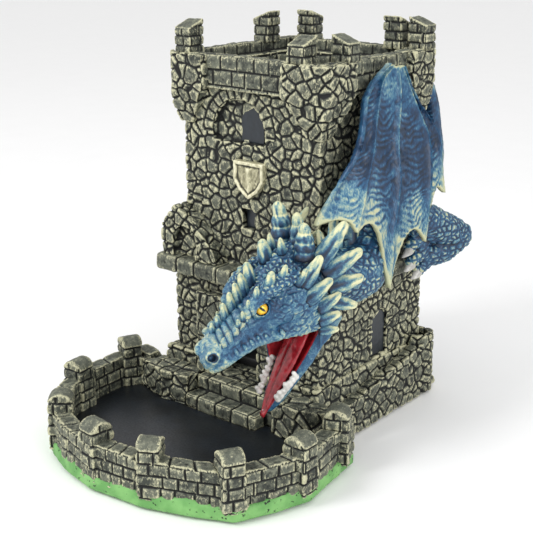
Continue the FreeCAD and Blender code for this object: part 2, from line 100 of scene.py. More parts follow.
def cells(points, size, salt, jitter=0.85):
    """Voronoi cells: the distance to the nearest border, a value for each, and the offset from its seed."""
    p = np.asarray(points, float) / np.asarray(size, float)
    base = np.floor(p)
    best = np.full(len(p), 1e9)
    middle = np.zeros_like(p)
    tone = np.zeros(len(p))
    seeds = []
    for step in np.ndindex(3, 3, 3):
        cell = base + np.array(step) - 1
        place = cell + 0.5
        for i in range(3):
            place[:, i] += jitter * (hashed(cell, salt + i) - 0.5)
        seeds.append((cell, place))
        distance = ((place - p) ** 2).sum(1)
        nearer = distance < best
        best[nearer] = distance[nearer]
        middle[nearer] = place[nearer]
        tone[nearer] = hashed(cell, salt + 7)[nearer]
    border = np.full(len(p), 1e9)
    for cell, place in seeds:
        apart = place - middle
        length = np.sqrt((apart**2).sum(1))
        other = length > 1e-6
        away = (((middle + place) / 2 - p) * apart).sum(1) / np.maximum(length, 1e-6)
        border[other] = np.minimum(border[other], away[other])
    return border * float(np.mean(size)), tone, (p - middle) * np.asarray(size, float)


# ---------------------------------------------------------------- distance fields


class Shape:
    """A distance function with the box that it fills."""

    def __init__(self, low, high, distance):
        self.low = np.array(low, float)
        self.high = np.array(high, float)
        self.distance = distance


def block(low, high, rounding=0.0):
    """A box from corner to corner, with rounded edges."""
    low = np.array(low, float)
    high = np.array(high, float)
    middle = (low + high) / 2
    half = (high - low) / 2 - rounding

    def distance(x, y, z):
        q = [abs(c - middle[i]) - half[i] for i, c in enumerate((x, y, z))]
        outside = np.sqrt(sum(np.maximum(c, 0) ** 2 for c in q))
        inside = np.minimum(np.maximum(np.maximum(q[0], q[1]), q[2]), 0)
        return outside + inside - rounding

    return Shape(low, high, distance)


def outline_distance(points, a, b):
    """Signed distance in a plane to a closed outline."""
    points = np.array(points, float)
    nearest = np.full(np.broadcast(a, b).shape, 1e9)
    inside = np.zeros(nearest.shape, bool)
    for (pa, pb), (qa, qb) in zip(points, np.roll(points, -1, 0)):
        ea, eb = qa - pa, qb - pb
        t = np.clip(((a - pa) * ea + (b - pb) * eb) / (ea * ea + eb * eb), 0, 1)
        nearest = np.minimum(nearest, (a - pa - t * ea) ** 2 + (b - pb - t * eb) ** 2)
        if eb != 0:
            crosses = ((pb > b) != (qb > b)) & (a < ea * (b - pb) / eb + pa)
            inside ^= crosses
    return np.where(inside, -1, 1) * np.sqrt(nearest)


def beyond(place, low, high):
    """How far a coordinate lies outside the span from low to high, negative within it."""
    return abs(place - (low + high) / 2) - (high - low) / 2


def prism(points, axis, low, high):
    """An outline in the plane across an axis ("x", "y" or "z"), raised along it from low to high."""
    points = np.array(points, float)
    through = "xyz".index(axis)
    a, b = (k for k in range(3) if k != through)

    def distance(*place):
        flat = outline_distance(points, place[a], place[b])
        return np.maximum(flat, beyond(place[through], low, high))

    corner_low = np.insert(points.min(0), through, low)
    corner_high = np.insert(points.max(0), through, high)
    return Shape(corner_low, corner_high, distance)


def hull(planes, low, high):
    """A convex solid from planes, each given as a normal and an offset."""

    def distance(x, y, z):
        worst = None
        for normal, offset in planes:
            n = np.array(normal, float)
            size = np.linalg.norm(n)
            d = (x * n[0] + y * n[1] + z * n[2] - offset) / size
            worst = d if worst is None else np.maximum(worst, d)
        return worst

    return Shape(low, high, distance)


def doorway(middle, half, sill, spring, near, far, across="x"):
    """A round-headed opening through a wall that faces y (or x, with across='y'), from near to far."""

    def distance(x, y, z):
        side, through = (x, y) if across == "x" else (y, x)
        head = np.sqrt(abs(side - middle) ** 2 + np.maximum(z - spring, 0) ** 2) - half
        return np.maximum(np.maximum(head, sill - z), beyond(through, near, far))

    low, high = [middle - half, near, sill], [middle + half, far, spring + half]
    if across == "y":
        low, high = [near, middle - half, sill], [far, middle + half, spring + half]
    return Shape(low, high, distance)


def drum(centre, radius, low, high):
    """An upright cylinder."""
    centre = np.array(centre, float)

    def distance(x, y, z):
        flat = np.sqrt((x - centre[0]) ** 2 + (y - centre[1]) ** 2) - radius
        return np.maximum(flat, beyond(z, low, high))

    return Shape([*(centre - radius), low], [*(centre + radius), high], distance)


def egg(centre, radii, axes=None):
    """An ellipsoid. axes are its three directions as rows."""
    centre = np.array(centre, float)
    radii = np.array(radii, float)
    axes = np.eye(3) if axes is None else np.array(axes, float)
    reach = np.abs(axes.T * radii).sum(1)

    def distance(x, y, z):
        p = [x - centre[0], y - centre[1], z - centre[2]]
        q = [sum(axes[i][j] * p[j] for j in range(3)) / radii[i] for i in range(3)]
        k = np.sqrt(q[0] ** 2 + q[1] ** 2 + q[2] ** 2)
        return (k - 1) * radii.min() * 0.7 + (k - 1) * radii.mean() * 0.3

    return Shape(centre - reach, centre + reach, distance)


def rod(a, b, ra, rb):
    """A round rod that tapers from radius ra at a to rb at b."""
    a = np.array(a, float)
    b = np.array(b, float)
    along = b - a
    length2 = (along**2).sum()

    def distance(x, y, z):
        t = ((x - a[0]) * along[0] + (y - a[1]) * along[1] + (z - a[2]) * along[2]) / length2
        t = np.clip(t, 0, 1)
        dx, dy, dz = (c - a[i] - t * along[i] for i, c in enumerate((x, y, z)))
        return np.sqrt(dx * dx + dy * dy + dz * dz) - (ra + t * (rb - ra))

    reach = max(ra, rb)
    return Shape(np.minimum(a, b) - reach, np.maximum(a, b) + reach, distance)


def spline(points, steps=5):
    """A smooth line through the points, each row with any number of values."""
    points = np.array(points, float)
    padded = np.vstack([2 * points[0] - points[1], points, 2 * points[-1] - points[-2]])
    rows = []
    for i in range(len(points) - 1):
        p0, p1, p2, p3 = padded[i : i + 4]
        for t in np.linspace(0, 1, steps, endpoint=False):
            a = 2 * p1 + (p2 - p0) * t
            b = (2 * p0 - 5 * p1 + 4 * p2 - p3) * t * t
            c = (3 * p1 - p0 - 3 * p2 + p3) * t**3
            rows.append((a + b + c) / 2)
    rows.append(points[-1])
    return np.array(rows)


class Field:
    """A distance field on an even grid."""

    def __init__(self, low, high, voxel):
        self.voxel = voxel
        self.low = np.array(low, float) - 3.37 * voxel
        count = np.ceil((np.array(high, float) + 3 * voxel - self.low) / voxel).astype(int) + 1
        self.d = np.full(count, FAR, np.float32)

    def window(self, shape, margin):
        first = np.floor((shape.low - margin - self.low) / self.voxel).astype(int)
        last = np.ceil((shape.high + margin - self.low) / self.voxel).astype(int) + 1
        first = np.clip(first, 0, self.d.shape)
        last = np.clip(last, 0, self.d.shape)
        where = tuple(slice(a, b) for a, b in zip(first, last))
        axes = [self.low[i] + self.voxel * np.arange(first[i], last[i]) for i in range(3)]
        return where, np.ix_(*axes)

    def add(self, shape, blend=0.0):
        """Joins a shape on, with a fillet about blend wide."""
        where, grid = self.window(shape, 3 * self.voxel + blend)
        if self.d[where].size == 0:
            return
        new = shape.distance(*grid).astype(np.float32)
        old = self.d[where]
        if blend > 0:
            h = np.maximum(blend - abs(new - old), 0) / blend
            self.d[where] = np.minimum(new, old) - h * h * blend / 4
        else:
            self.d[where] = np.minimum(new, old)

    def cut(self, shape):
        where, grid = self.window(shape, 3 * self.voxel)
        if self.d[where].size:
            self.d[where] = np.maximum(self.d[where], -shape.distance(*grid).astype(np.float32))

    def skin(self):
        """The surface where the field is zero, as a mesh of quads."""
        d = self.d
        inside = d < 0
        ny, nz = d.shape[1], d.shape[2]
        corners = []
        crossings = []
        faces = []
        for axis in range(3):
            ahead = [slice(None)] * 3
            behind = [slice(None)] * 3
            ahead[axis] = slice(1, None)
            behind[axis] = slice(None, -1)
            first, second = inside[tuple(behind)], inside[tuple(ahead)]
            i = np.argwhere(first != second)
            near = d[tuple(behind)][tuple(i.T)].astype(float)
            far = d[tuple(ahead)][tuple(i.T)].astype(float)
            p = i.astype(float)
            p[:, axis] += near / (near - far)
            u, v = (axis + 1) % 3, (axis + 2) % 3
            around = []
            for du, dv in [(0, 0), (-1, 0), (-1, -1), (0, -1)]:
                cell = i.copy()
                cell[:, u] += du
                cell[:, v] += dv
                around.append((cell[:, 0] * ny + cell[:, 1]) * nz + cell[:, 2])
                crossings.append(p)
            ring = np.stack(around, 1)
            flip = ~first[tuple(i.T)]
            ring[flip] = ring[flip][:, ::-1]
            corners.append(np.concatenate(around))
            faces.append(ring)
        ids, index = np.unique(np.concatenate(corners), return_inverse=True)
        where = np.concatenate(crossings)
        count = np.bincount(index)
        points = np.stack([np.bincount(index, where[:, k]) / count for k in range(3)], 1)
        quads = np.searchsorted(ids, np.concatenate(faces))
        return Skin(points * self.voxel + self.low, quads)


# ---------------------------------------------------------------- meshes


class Skin:
    """A closed mesh of quads whose vertices carry painted values."""

    def __init__(self, points, quads):
        self.points = points
        self.quads = quads
        self.paint = {}

    def normals(self):
        p = self.points[self.quads]
        face = np.cross(p[:, 2] - p[:, 0], p[:, 3] - p[:, 1])
        total = np.zeros_like(self.points)
        for k in range(3):
            weights = np.repeat(face[:, k], 4)
            total[:, k] = np.bincount(self.quads.ravel(), weights, len(self.points))
        return total / np.maximum(np.linalg.norm(total, axis=1), 1e-12)[:, None]

    def averaged(self, values, rounds):
        """The values, each time replaced by the mean of a vertex and its neighbours."""
        values = np.array(values, float)
        flat = values.ndim == 1
        values = values[:, None] if flat else values
        q = self.quads
        ends = q.ravel()
        count = np.bincount(ends, minlength=len(values)) * 2.0
        for _ in range(rounds):
            new = np.empty_like(values)
            for k in range(values.shape[1]):
                v = values[:, k]
                beside = v[np.roll(q, 1, 1)] + v[np.roll(q, -1, 1)]
                new[:, k] = np.bincount(ends, beside.ravel(), len(values)) / np.maximum(count, 1)
            values = (values + new) / 2
        return values[:, 0] if flat else values

    def smooth(self, rounds):
        self.points = self.averaged(self.points, rounds)
        return self

    def push(self, height, normals=None):
        """Moves each vertex along its normal."""
        normals = self.normals() if normals is None else normals
        self.points = self.points + normals * np.asarray(height)[:, None]

    def rub(self, rounds, reach):
        """Paints how far each vertex stands proud of its surroundings, from -1 to 1."""
        flat = self.averaged(self.points, max(1, round(rounds / COARSE**2)))
        proud = ((self.points - flat) * self.normals()).sum(1)
        self.paint["proud"] = np.clip(proud / reach, -1, 1)
        return self

    def transformed(self, origin, axes):
        """Local points turned into the row frame: origin plus the axes' rows times each value."""
        self.points = np.array(origin, float) + self.points @ np.array(axes, float)
        return self


def joined(skins):
    """Several skins as one, with the paint that the first one has."""
    points = []
    quads = []
    start = 0
    for skin in skins:
        points.append(skin.points)
        quads.append(skin.quads + start)
        start += len(skin.points)
    whole = Skin(np.vstack(points), np.vstack(quads))
    for name in skins[0].paint:
        whole.paint[name] = np.concatenate([skin.paint[name] for skin in skins])
    return whole


def tube(centres, rings):
    """A closed skin from a row of rings, each an equal number of points round its centre."""
    rows, around = rings.shape[:2]
    points = np.vstack([rings.reshape(-1, 3), centres[:1], centres[-1:]])
    quads = []
    for r in range(rows - 1):
        for a in range(around):
            b = (a + 1) % around
            quads.append([r * around + a, r * around + b, (r + 1) * around + b, (r + 1) * around + a])
    for end, row, order in [(rows * around, 0, -1), (rows * around + 1, rows - 1, 1)]:
        for a in range(0, around, 2):
            face = [row * around + (a + k) % around for k in range(3)]
            quads.append([*face, end][::order])
    return Skin(points, np.array(quads))


def piece(name, skin, material, node):
    """The mesh as a Blender object that rides on the body and stands for its CAD node."""
    mesh = bpy.data.meshes.new(name)
    count = len(skin.quads)
    mesh.vertices.add(len(skin.points))
    mesh.vertices.foreach_set("co", (skin.points * MM).astype(np.float32).ravel())
    mesh.loops.add(4 * count)
    mesh.loops.foreach_set("vertex_index", skin.quads.astype(np.int32).ravel())
    mesh.polygons.add(count)
    mesh.polygons.foreach_set("loop_start", np.arange(0, 4 * count, 4, dtype=np.int32))
    mesh.polygons.foreach_set("use_smooth", np.ones(count, bool))
    mesh.update(calc_edges=True)
    mesh.validate()
    for key, values in skin.paint.items():
        layer = mesh.attributes.new(key, "FLOAT", "POINT")
        layer.data.foreach_set("value", np.asarray(values, np.float32))
    obj = bpy.data.objects.new(name, mesh)
    bpy.context.scene.collection.objects.link(obj)
    obj.data.materials.append(material)
    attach(obj, "root")
    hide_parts(node)


# ---------------------------------------------------------------- materials


# The factor and the two colours among the Mix node's inputs
MIX_SOCKETS = (0, 6, 7)


class Paint:
    """A node material with one Principled shader."""

    def __init__(self, name, roughness=0.6, coat=0.0, sheen=0.0):
        self.material = bpy.data.materials.new(name)
        self.material.use_nodes = True
        self.tree = self.material.node_tree
        self.shader = self.tree.nodes["Principled BSDF"]
        self.shader.inputs["Roughness"].default_value = roughness
        self.shader.inputs["Coat Weight"].default_value = coat
        self.shader.inputs["Coat Roughness"].default_value = 0.15
        self.shader.inputs["Sheen Weight"].default_value = sheen

    def node(self, kind, **settings):
        made = self.tree.nodes.new("ShaderNode" + kind)
        for key, value in settings.items():
            setattr(made, key, value)
        return made

    def link(self, source, target):
        self.tree.links.new(source, target)

    def value(self, name):
        return self.node("Attribute", attribute_name=name).outputs["Fac"]

    def noise(self, size, detail=4.0, stretch=(1, 1, 1), distortion=0.0):
        """Noise with features about size millimetres across."""
        place = self.node("TexCoord").outputs["Object"]
        mapping = self.node("Mapping")
        mapping.inputs["Scale"].default_value = stretch
        self.link(place, mapping.inputs["Vector"])
        made = self.node("TexNoise")
        made.inputs["Scale"].default_value = 1 / (size * MM)
        made.inputs["Detail"].default_value = detail
        made.inputs["Distortion"].default_value = distortion
        self.link(mapping.outputs["Vector"], made.inputs["Vector"])
        return made.outputs["Fac"]

    def maths(self, operation, a, b=0.0, clamp=False):
        made = self.node("Math", operation=operation, use_clamp=clamp)
        for socket, given in zip(made.inputs, (a, b)):
            if isinstance(given, (int, float)):
                socket.default_value = given
            else:
                self.link(given, socket)
        return made.outputs[0]

    def swing(self, value, amount):
        """The value's distance from 0.5, made amount times as strong."""
        return self.maths("MULTIPLY", self.maths("SUBTRACT", value, 0.5), amount)

    def span(self, value, low, high):
        """The value stretched so that low becomes 0 and high becomes 1."""
        made = self.node("MapRange", interpolation_type="SMOOTHSTEP")
        made.inputs["From Min"].default_value = low
        made.inputs["From Max"].default_value = high
        self.link(value, made.inputs["Value"])
        return made.outputs["Result"]

    def mixed(self, factor, a, b):
        made = self.node("Mix", data_type="RGBA")
        sockets = [made.inputs[i] for i in MIX_SOCKETS]
        for socket, given in zip(sockets, (factor, a, b)):
            if isinstance(given, (int, float)):
                socket.default_value = given
            elif isinstance(given, tuple):
                socket.default_value = (*given, 1)
            else:
                self.link(given, socket)
        return made.outputs[2]

    def ramp(self, value, stops):
        """Colours along the value; stops are (place, colour)."""
        made = self.node("ValToRGB")
        elements = made.color_ramp.elements
        while len(elements) < len(stops):
            elements.new(0.5)
        for element, (place, colour) in zip(elements, stops):
            element.position = place
            element.color = (*colour, 1)
        self.link(value, made.inputs["Fac"])
        return made.outputs["Color"]

    def colour(self, socket):
        self.link(socket, self.shader.inputs["Base Color"])

    def rough(self, socket):
        self.link(socket, self.shader.inputs["Roughness"])

    def bump(self, height, distance):
        """Fine relief, with distance in millimetres."""
        made = self.node("Bump")
        made.inputs["Strength"].default_value = 0.6
        made.inputs["Distance"].default_value = distance * MM
        self.link(height, made.inputs["Height"])
        self.link(made.outputs["Normal"], self.shader.inputs["Normal"])


def srgb(r, g, b):
    """A colour given as 0 to 255 on screen, in linear light."""
    return tuple(((c / 255 + 0.055) / 1.055) ** 2.4 if c > 10 else c / 255 / 12.92 for c in (r, g, b))


def stone_material(name="carved_stone", brush_and_highlight=0.0):
    """Grey-green paint, black wash in the joints, and bone dry brush on the stones' rims."""
    paint = Paint(name, roughness=0.72)
    proud = paint.value("proud")
    tone = paint.value("tone")
    streak = paint.noise(0.9, 6.0, (1.0, 1.0, 0.5), 1.8)
    speck = paint.noise(2.6, 5.0)
    body = paint.mixed(paint.span(tone, 0.0, 1.0), srgb(44, 49, 44), srgb(88, 92, 81))
    body = paint.mixed(paint.span(speck, 0.42, 0.72), body, srgb(114, 117, 101))
    lift = paint.maths("ADD", proud, paint.swing(streak, 2.3))
    # The last argument brings the bone dry brush in sooner, so more of each stone turns pale: partly heavier
    # dry brush, partly a painted highlight.
    brushed = paint.span(lift, 0.2 - brush_and_highlight * 0.5, 0.85 - brush_and_highlight * 0.5)
    body = paint.mixed(paint.maths("MULTIPLY", brushed, 0.9), body, srgb(206, 203, 168))
    wash = paint.span(paint.maths("ADD", proud, paint.maths("MULTIPLY", speck, 0.15)), -0.16, 0.14)
    paint.colour(paint.mixed(wash, srgb(5, 8, 7), body))
    paint.bump(streak, 0.35)
    return paint.material


def grass_material():
    paint = Paint("painted_grass", roughness=0.6)
    speck = paint.noise(1.6, 5.0)
    broad = paint.noise(9.0, 3.0)
    body = paint.mixed(paint.span(broad, 0.35, 0.65), srgb(98, 156, 84), srgb(126, 182, 106))
    body = paint.mixed(paint.span(speck, 0.62, 0.68), body, srgb(20, 34, 20))
    body = paint.mixed(paint.value("lining"), body, srgb(12, 14, 16))
    paint.colour(body)
    paint.bump(speck, 0.3)
    return paint.material


def mat_material():
    paint = Paint("black_lining", roughness=0.38)
    grain = paint.noise(0.8, 4.0)
    cloud = paint.noise(14.0, 2.0)
    paint.colour(paint.mixed(paint.span(cloud, 0.3, 0.7), srgb(13, 17, 22), srgb(22, 28, 36)))
    paint.rough(paint.span(grain, -0.7, 2.1))
    paint.bump(grain, 0.06)
    return paint.material


def dark_material(name, colour, roughness):
    """A plain dark paint with faint brush marks."""
    paint = Paint(name, roughness=roughness)
    grain = paint.noise(1.4, 4.0, (1, 1, 0.3))
    paint.colour(paint.mixed(grain, tuple(0.6 * c for c in colour), tuple(1.3 * c for c in colour)))
    paint.bump(grain, 0.12)
    return paint.material


def felt_material():
    paint = Paint("foot_felt", roughness=0.95, sheen=0.4)
    fibre = paint.noise(0.5, 6.0, (1, 1, 1), 2.0)
    paint.colour(paint.mixed(fibre, srgb(14, 14, 15), srgb(38, 38, 40)))
    paint.bump(fibre, 0.15)
    return paint.material


def bone_material():
    """Bone dry-brushed over a dark wash."""
    paint = Paint("bone_relief", roughness=0.6)
    streak = paint.noise(1.0, 5.0, (1, 1, 0.4), 1.0)
    lift = paint.maths("ADD", paint.value("proud"), paint.swing(streak, 1.0))
    stops = [
        (0.0, srgb(34, 34, 26)),
        (0.35, srgb(140, 136, 108)),
        (0.75, srgb(205, 200, 166)),
        (1.0, srgb(232, 228, 198)),
    ]
    paint.colour(paint.ramp(paint.span(lift, -0.5, 0.5), stops))
    paint.bump(streak, 0.2)
    return paint.material


def skin_material(name, stretch=(1, 1, 1)):
    """The dragon's hide: deep blue in the hollows, then pale blue and cream where it stands proud."""
    paint = Paint(name, roughness=0.46, coat=0.12)
    streak = paint.noise(1.3, 6.0, stretch, 1.6)
    brushed = paint.maths("ADD", paint.value("proud"), paint.swing(streak, 1.1))
    patches = paint.maths("ADD", paint.swing(paint.noise(8.0, 3.0), 1.1), paint.value("pale"))
    lift = paint.maths("ADD", brushed, patches)
    stops = [
        (0.0, srgb(4, 16, 30)),
        (0.27, srgb(10, 46, 80)),
        (0.48, srgb(30, 84, 122)),
        (0.64, srgb(76, 124, 148)),
        (0.78, srgb(136, 166, 162)),
        (0.92, srgb(206, 207, 162)),
    ]
    body = paint.ramp(paint.span(lift, -0.85, 1.15), stops)
    hide = paint.mixed(paint.maths("MULTIPLY", paint.value("tone"), 0.35), body, srgb(24, 70, 108))
    # The mouth's lining is red
    red = paint.mixed(paint.span(paint.noise(3.0, 4.0), 0.3, 0.7), srgb(108, 10, 18), srgb(168, 22, 34))
    paint.colour(paint.mixed(paint.span(paint.value("mouth"), 0.35, 0.65), hide, red))
    paint.bump(streak, 0.2)
    return paint.material


def horn_material():
    """Blue at the root, fading to dry-brushed cream at the tip."""
    paint = Paint("horn_paint", roughness=0.5, coat=0.1)
    streak = paint.noise(1.0, 6.0, (1, 1, 1), 1.5)
    brushed = paint.maths("ADD", paint.value("proud"), paint.swing(streak, 0.9))
    lift = paint.maths("ADD", brushed, paint.maths("MULTIPLY", paint.value("along"), 1.1))
    stops = [
        (0.0, srgb(6, 20, 40)),
        (0.28, srgb(24, 66, 100)),
        (0.47, srgb(70, 118, 140)),
        (0.64, srgb(136, 164, 154)),
        (0.82, srgb(204, 206, 164)),
        (1.0, srgb(228, 224, 182)),
    ]
    paint.colour(paint.ramp(paint.span(lift, -0.85, 1.3), stops))
    paint.bump(streak, 0.2)
    return paint.material


def eye_material():
    """Yellow enamel with a dark pupil and rim."""
    paint = Paint("eye_enamel", roughness=0.12, coat=0.6)
    iris = paint.mixed(paint.span(paint.value("ring"), 0.2, 0.85), srgb(250, 222, 40), srgb(222, 156, 16))
    iris = paint.mixed(paint.span(paint.noise(1.2, 4.0), 0.5, 0.8), iris, srgb(255, 236, 96))
    paint.colour(paint.mixed(paint.span(paint.value("pupil"), 0.35, 0.6), iris, srgb(8, 8, 10)))
    return paint.material


def gloss_material(name, low, high, roughness, coat):
    """A glossy enamel with slight depth."""
    paint = Paint(name, roughness=roughness, coat=coat)
    cloud = paint.noise(3.0, 4.0)
    proud = paint.value("proud")
    lift = paint.maths("ADD", cloud, paint.maths("MULTIPLY", proud, 0.5))
    paint.colour(paint.mixed(paint.span(lift, 0.25, 0.75), low, high))
    paint.bump(cloud, 0.15)
    return paint.material


# ---------------------------------------------------------------- stonework


def carve(skin, border, tone, depth, width, dome=0.25, lump=0.22, where=1.0):
    """Sinks the joints and rounds the stones, given each vertex's distance to its stone's border."""
    normals = skin.averaged(skin.normals(), 2)
    normals /= np.maximum(np.linalg.norm(normals, axis=1), 1e-9)[:, None]
    joint = 1 - smoothstep(0.0, width, border)
    crown = smoothstep(0.0, 3.2 * width, border)
    height = -depth * joint + dome * crown + lump * (tone * 2 - 1) * (1 - joint)
    height += 0.10 * noise(skin.points, 0.9, 5) * (1 - joint)
    height += 0.18 * noise(skin.points, 2.3, 6)
    skin.push(height * where - 0.12, normals)
    skin.paint["tone"] = tone
    return skin


def bent(points, salt):
    """The points shifted by smooth noise, so that the stones lose their straight rows."""
    return points + 0.9 * np.stack([noise(points, 5.0, salt + k) for k in range(3)], 1)


def rubble(skin, size, salt, where=1.0):
    """Irregular stones laid in lime, wrapping round the corners."""
    border, tone, _ = cells(bent(skin.points, salt + 21), (size, size, size * 0.86), salt, 0.8)
    return carve(skin, border, tone, 0.95, 0.7, where=where)


def block_value(index, level, salt):
    """A value from 0 to 1 for each block, from its place in its row and the row's level."""
    return hashed(np.stack([index, level, 0 * level], 1), salt)


def lay_arch(border, tone, u, v, arch, count, where):
    """Lays count stones in a half ring over an opening, and returns the mask of the ring."""
    middle, spring, inner, outer = arch
    du, dv = u - middle, v - spring
    radius = np.hypot(du, dv)
    step = math.pi / count
    place = np.arctan2(dv, du) / step
    from_joint = 0.5 - np.abs((place % 1.0) - 0.5)
    ring = np.minimum(from_joint * step * radius, np.minimum(radius - inner, outer - radius))
    mask = (radius > inner) & (radius < outer) & (dv > -1)
    chosen = mask & where
    border[chosen] = np.maximum(ring[chosen], 0)
    tone[chosen] = block_value(np.floor(place), 0 * place, 3)[chosen]
    return mask


def courses(u, v, row, brick, salt):
    """Rows of rounded blocks: the border distance and a value for each block."""
    level = np.floor(v / row)
    place = u / brick + block_value(level, 0 * level, salt)
    index = np.floor(place)
    start = index + 0.3 * (block_value(index, level, salt + 1) - 0.5)
    finish = index + 1 + 0.3 * (block_value(index + 1, level, salt + 1) - 0.5)
    along = np.minimum(place - start, finish - place) * brick
    up = np.minimum(v - level * row, (level + 1) * row - v)
    return np.abs(np.minimum(along, up)), block_value(index, level, salt + 2)


def along_wall(points, facing):
    """How far along its wall each point lies, for walls that face x or y."""
    faces_x = np.abs(facing[:, 0]) > np.abs(facing[:, 1])
    return np.where(faces_x, points[:, 1], points[:, 0])


def coursed(skin, row, brick, salt, base):
    """Neat courses on the walls, from the level base up, and blocks of the same length on top."""
    p = skin.points
    normals = skin.averaged(skin.normals(), 3)
    bend = 0.35 * noise(p, 6.0, salt + 40)
    border, tone = courses(along_wall(p, normals) + bend, p[:, 2] - base + bend, row, brick, salt)
    along = along_wall(p, p)
    top_border, top_tone = courses(along + bend, 0 * along + row / 2, row, brick, salt)
    flat = np.abs(normals[:, 2]) > 0.75
    border[flat] = np.maximum(top_border[flat], 0)
    tone[flat] = top_tone[flat]
    return carve(skin, border, tone, 0.8, 0.6)


# Driving sizes of the keep, read from the frame
shaft_low, shaft_high = box_mm("tower_shaft")
storey_low, storey_high = box_mm("lower_storey")
base_low, base_high = box_mm("tower_base")
course_low, course_high = box_mm("string_course")
parapet_low, parapet_high = box_mm("parapet")
bore_half = -box_mm("upper_ramp")[0][0]
UP = np.array([0.0, 0.0, 1.0])
# How far one stone piece reaches into the next
LAP = 1.0
# How far a cut reaches past what it opens
CLEAR = 5.0
# Openings as (middle, spring line, inner radius of the arch stones, their outer radius)
FRONT_ARCH = (-6, 128, 14.0, 19.5)
SIDE_ARCH = (4.5, 43, 5.8, 10.5)
GATE_ARCH = (-3, 36, 13.0, 20.5)
GATE_HALF = 14
# The sill and spring line of the front's lancet window
LANCET = (125, 133)
SIDE_WINDOW_HALF = 5.5
SIDE_WINDOW_SILL = 27
# The loophole under the shield, from corner to corner as (x, z)
LOOPHOLE = ((-4, 87), (2, 96))
WALK_LEVEL = 147
# Pieces that lean on the keep stop this far from its axis, a little inside its walls
INSIDE = 36


def bore(low, high):
    """The chute's square bore between two levels."""
    return block([-bore_half, -bore_half, low], [bore_half, bore_half, high])


def bored_block(low, high, voxel, rounding):
    """A block of the keep with the bore through it."""
    field = Field(low, high, voxel)
    field.add(block(low, high, rounding))
    field.cut(bore(low[2] - CLEAR, high[2] + CLEAR))
    return field


def loophole(near, far):
    (x0, z0), (x1, z1) = LOOPHOLE
    return block([x0, near, z0], [x1, far, z1])


def away_from_bore(points):
    """0 on the smooth walls of the chute, 1 elsewhere."""
    reach = np.maximum(np.abs(points[:, 0]), np.abs(points[:, 1]))
    return smoothstep(bore_half + 0.8, bore_half + 2.0, reach)


def stone_piece(node, skin, stone, bored=False):
    """Finishes a stone mesh as its node's piece. A bored one's smooth walls are painted dark."""
    skin.rub(9, 0.42)
    if bored:
        inner = 1 - away_from_bore(skin.points)
        skin.paint["proud"] = np.where(inner > 0.5, -0.6, skin.paint["proud"])
    piece(node + "_stone", skin, stone, node)


def build_shaft(stone):
    low, high = shaft_low - LAP * UP, shaft_high + LAP * UP
    front = low[1]
    middle, spring, inner, outer = FRONT_ARCH
    field = bored_block(low, high, WALL_VOXEL, 0.8)
    field.cut(doorway(middle, inner, spring - 4, spring, front - 2, front + 3))
    field.cut(doorway(0.5, 5.5, *LANCET, front - 2, front + 5))
    field.cut(loophole(front - 2, front + 4))
    skin = field.skin()
    p = skin.points
    border, tone, _ = cells(bent(p, 30), (5.6, 5.6, 5.2), 12)
    on_front = p[:, 1] < front + 1.5
    ring = lay_arch(border, tone, p[:, 0], p[:, 2], FRONT_ARCH, 13, on_front)
    beside = on_front & ~ring & (p[:, 2] > spring)
    radius = np.hypot(p[:, 0] - middle, p[:, 2] - spring)
    border[beside] = np.minimum(border, np.abs(radius - outer))[beside]
    carve(skin, border, tone, 0.95, 0.68, where=away_from_bore(p))
    stone_piece("tower_shaft", skin, stone, bored=True)


def build_storey(stone):
    low, high = storey_low - LAP * UP, storey_high + LAP * UP
    side = high[0]
    field = bored_block(low, high, WALL_VOXEL, 0.8)
    field.cut(doorway(GATE_ARCH[0], GATE_HALF, low[2] - CLEAR, GATE_ARCH[1], low[1] - 3, 0))
    window = (SIDE_ARCH[0], SIDE_WINDOW_HALF, SIDE_WINDOW_SILL, SIDE_ARCH[1])
    field.cut(doorway(*window, side - 4, side + 3, "y"))
    skin = field.skin()
    p = skin.points
    border, tone, _ = cells(bent(p, 60), (5.2, 5.2, 4.6), 15)
    lay_arch(border, tone, p[:, 1], p[:, 2], SIDE_ARCH, 7, p[:, 0] > side - 1.5)
    carve(skin, border, tone, 0.9, 0.66, where=away_from_bore(p))
    stone_piece("lower_storey", skin, stone, bored=True)


def build_base(stone):
    """The foot, which leans in on the right, on the left and at the back."""
    low, high = base_low, base_high
    right, left, back = (lean / (high[2] - low[2]) for lean in (5.0, 6.0, 3.0))
    planes = [
        ((0, 0, 1), high[2]),
        ((0, 0, -1), -low[2]),
        ((0, -1, 0), -low[1]),
        ((1, 0, right), 47 + right * low[2]),
        ((-1, 0, left), 50 + left * low[2]),
        ((0, 1, back), high[1] + back * low[2]),
    ]
    field = Field(low, high, STONE_VOXEL * 1.1)
    field.add(hull(planes, low, high))
    field.cut(block([GATE_ARCH[0] - GATE_HALF, -60, 19], [GATE_ARCH[0] + GATE_HALF, 0, 40]))
    field.cut(bore(19, 40))
    skin = field.skin()
    where = away_from_bore(skin.points) * smoothstep(low[2] + 0.3, low[2] + 1.2, skin.points[:, 2])
    stone_piece("tower_base", rubble(skin, 6.6, 19, where), stone)


def build_gate_surround(stone):
    low, high = box_mm("gate_surround")
    middle, spring = GATE_ARCH[:2]
    field = Field(low, high, STONE_VOXEL)
    field.add(block(low, high + np.array([0, 1, 0]), 0.8))
    field.cut(doorway(middle, GATE_HALF, low[2] - CLEAR, spring, low[1] - 3, 5))
    field.cut(block([-60, -44, 0], [60, 0, 26]))
    skin = field.skin()
    p = skin.points
    border, tone, _ = cells(p, (6.0, 6.0, 5.6), 23, 0.8)
    lay_arch(border, tone, p[:, 0], p[:, 2], GATE_ARCH, 9, p[:, 2] > spring)
    carve(skin, border, tone, 0.85, 0.62)
    stone_piece("gate_surround", skin, stone)


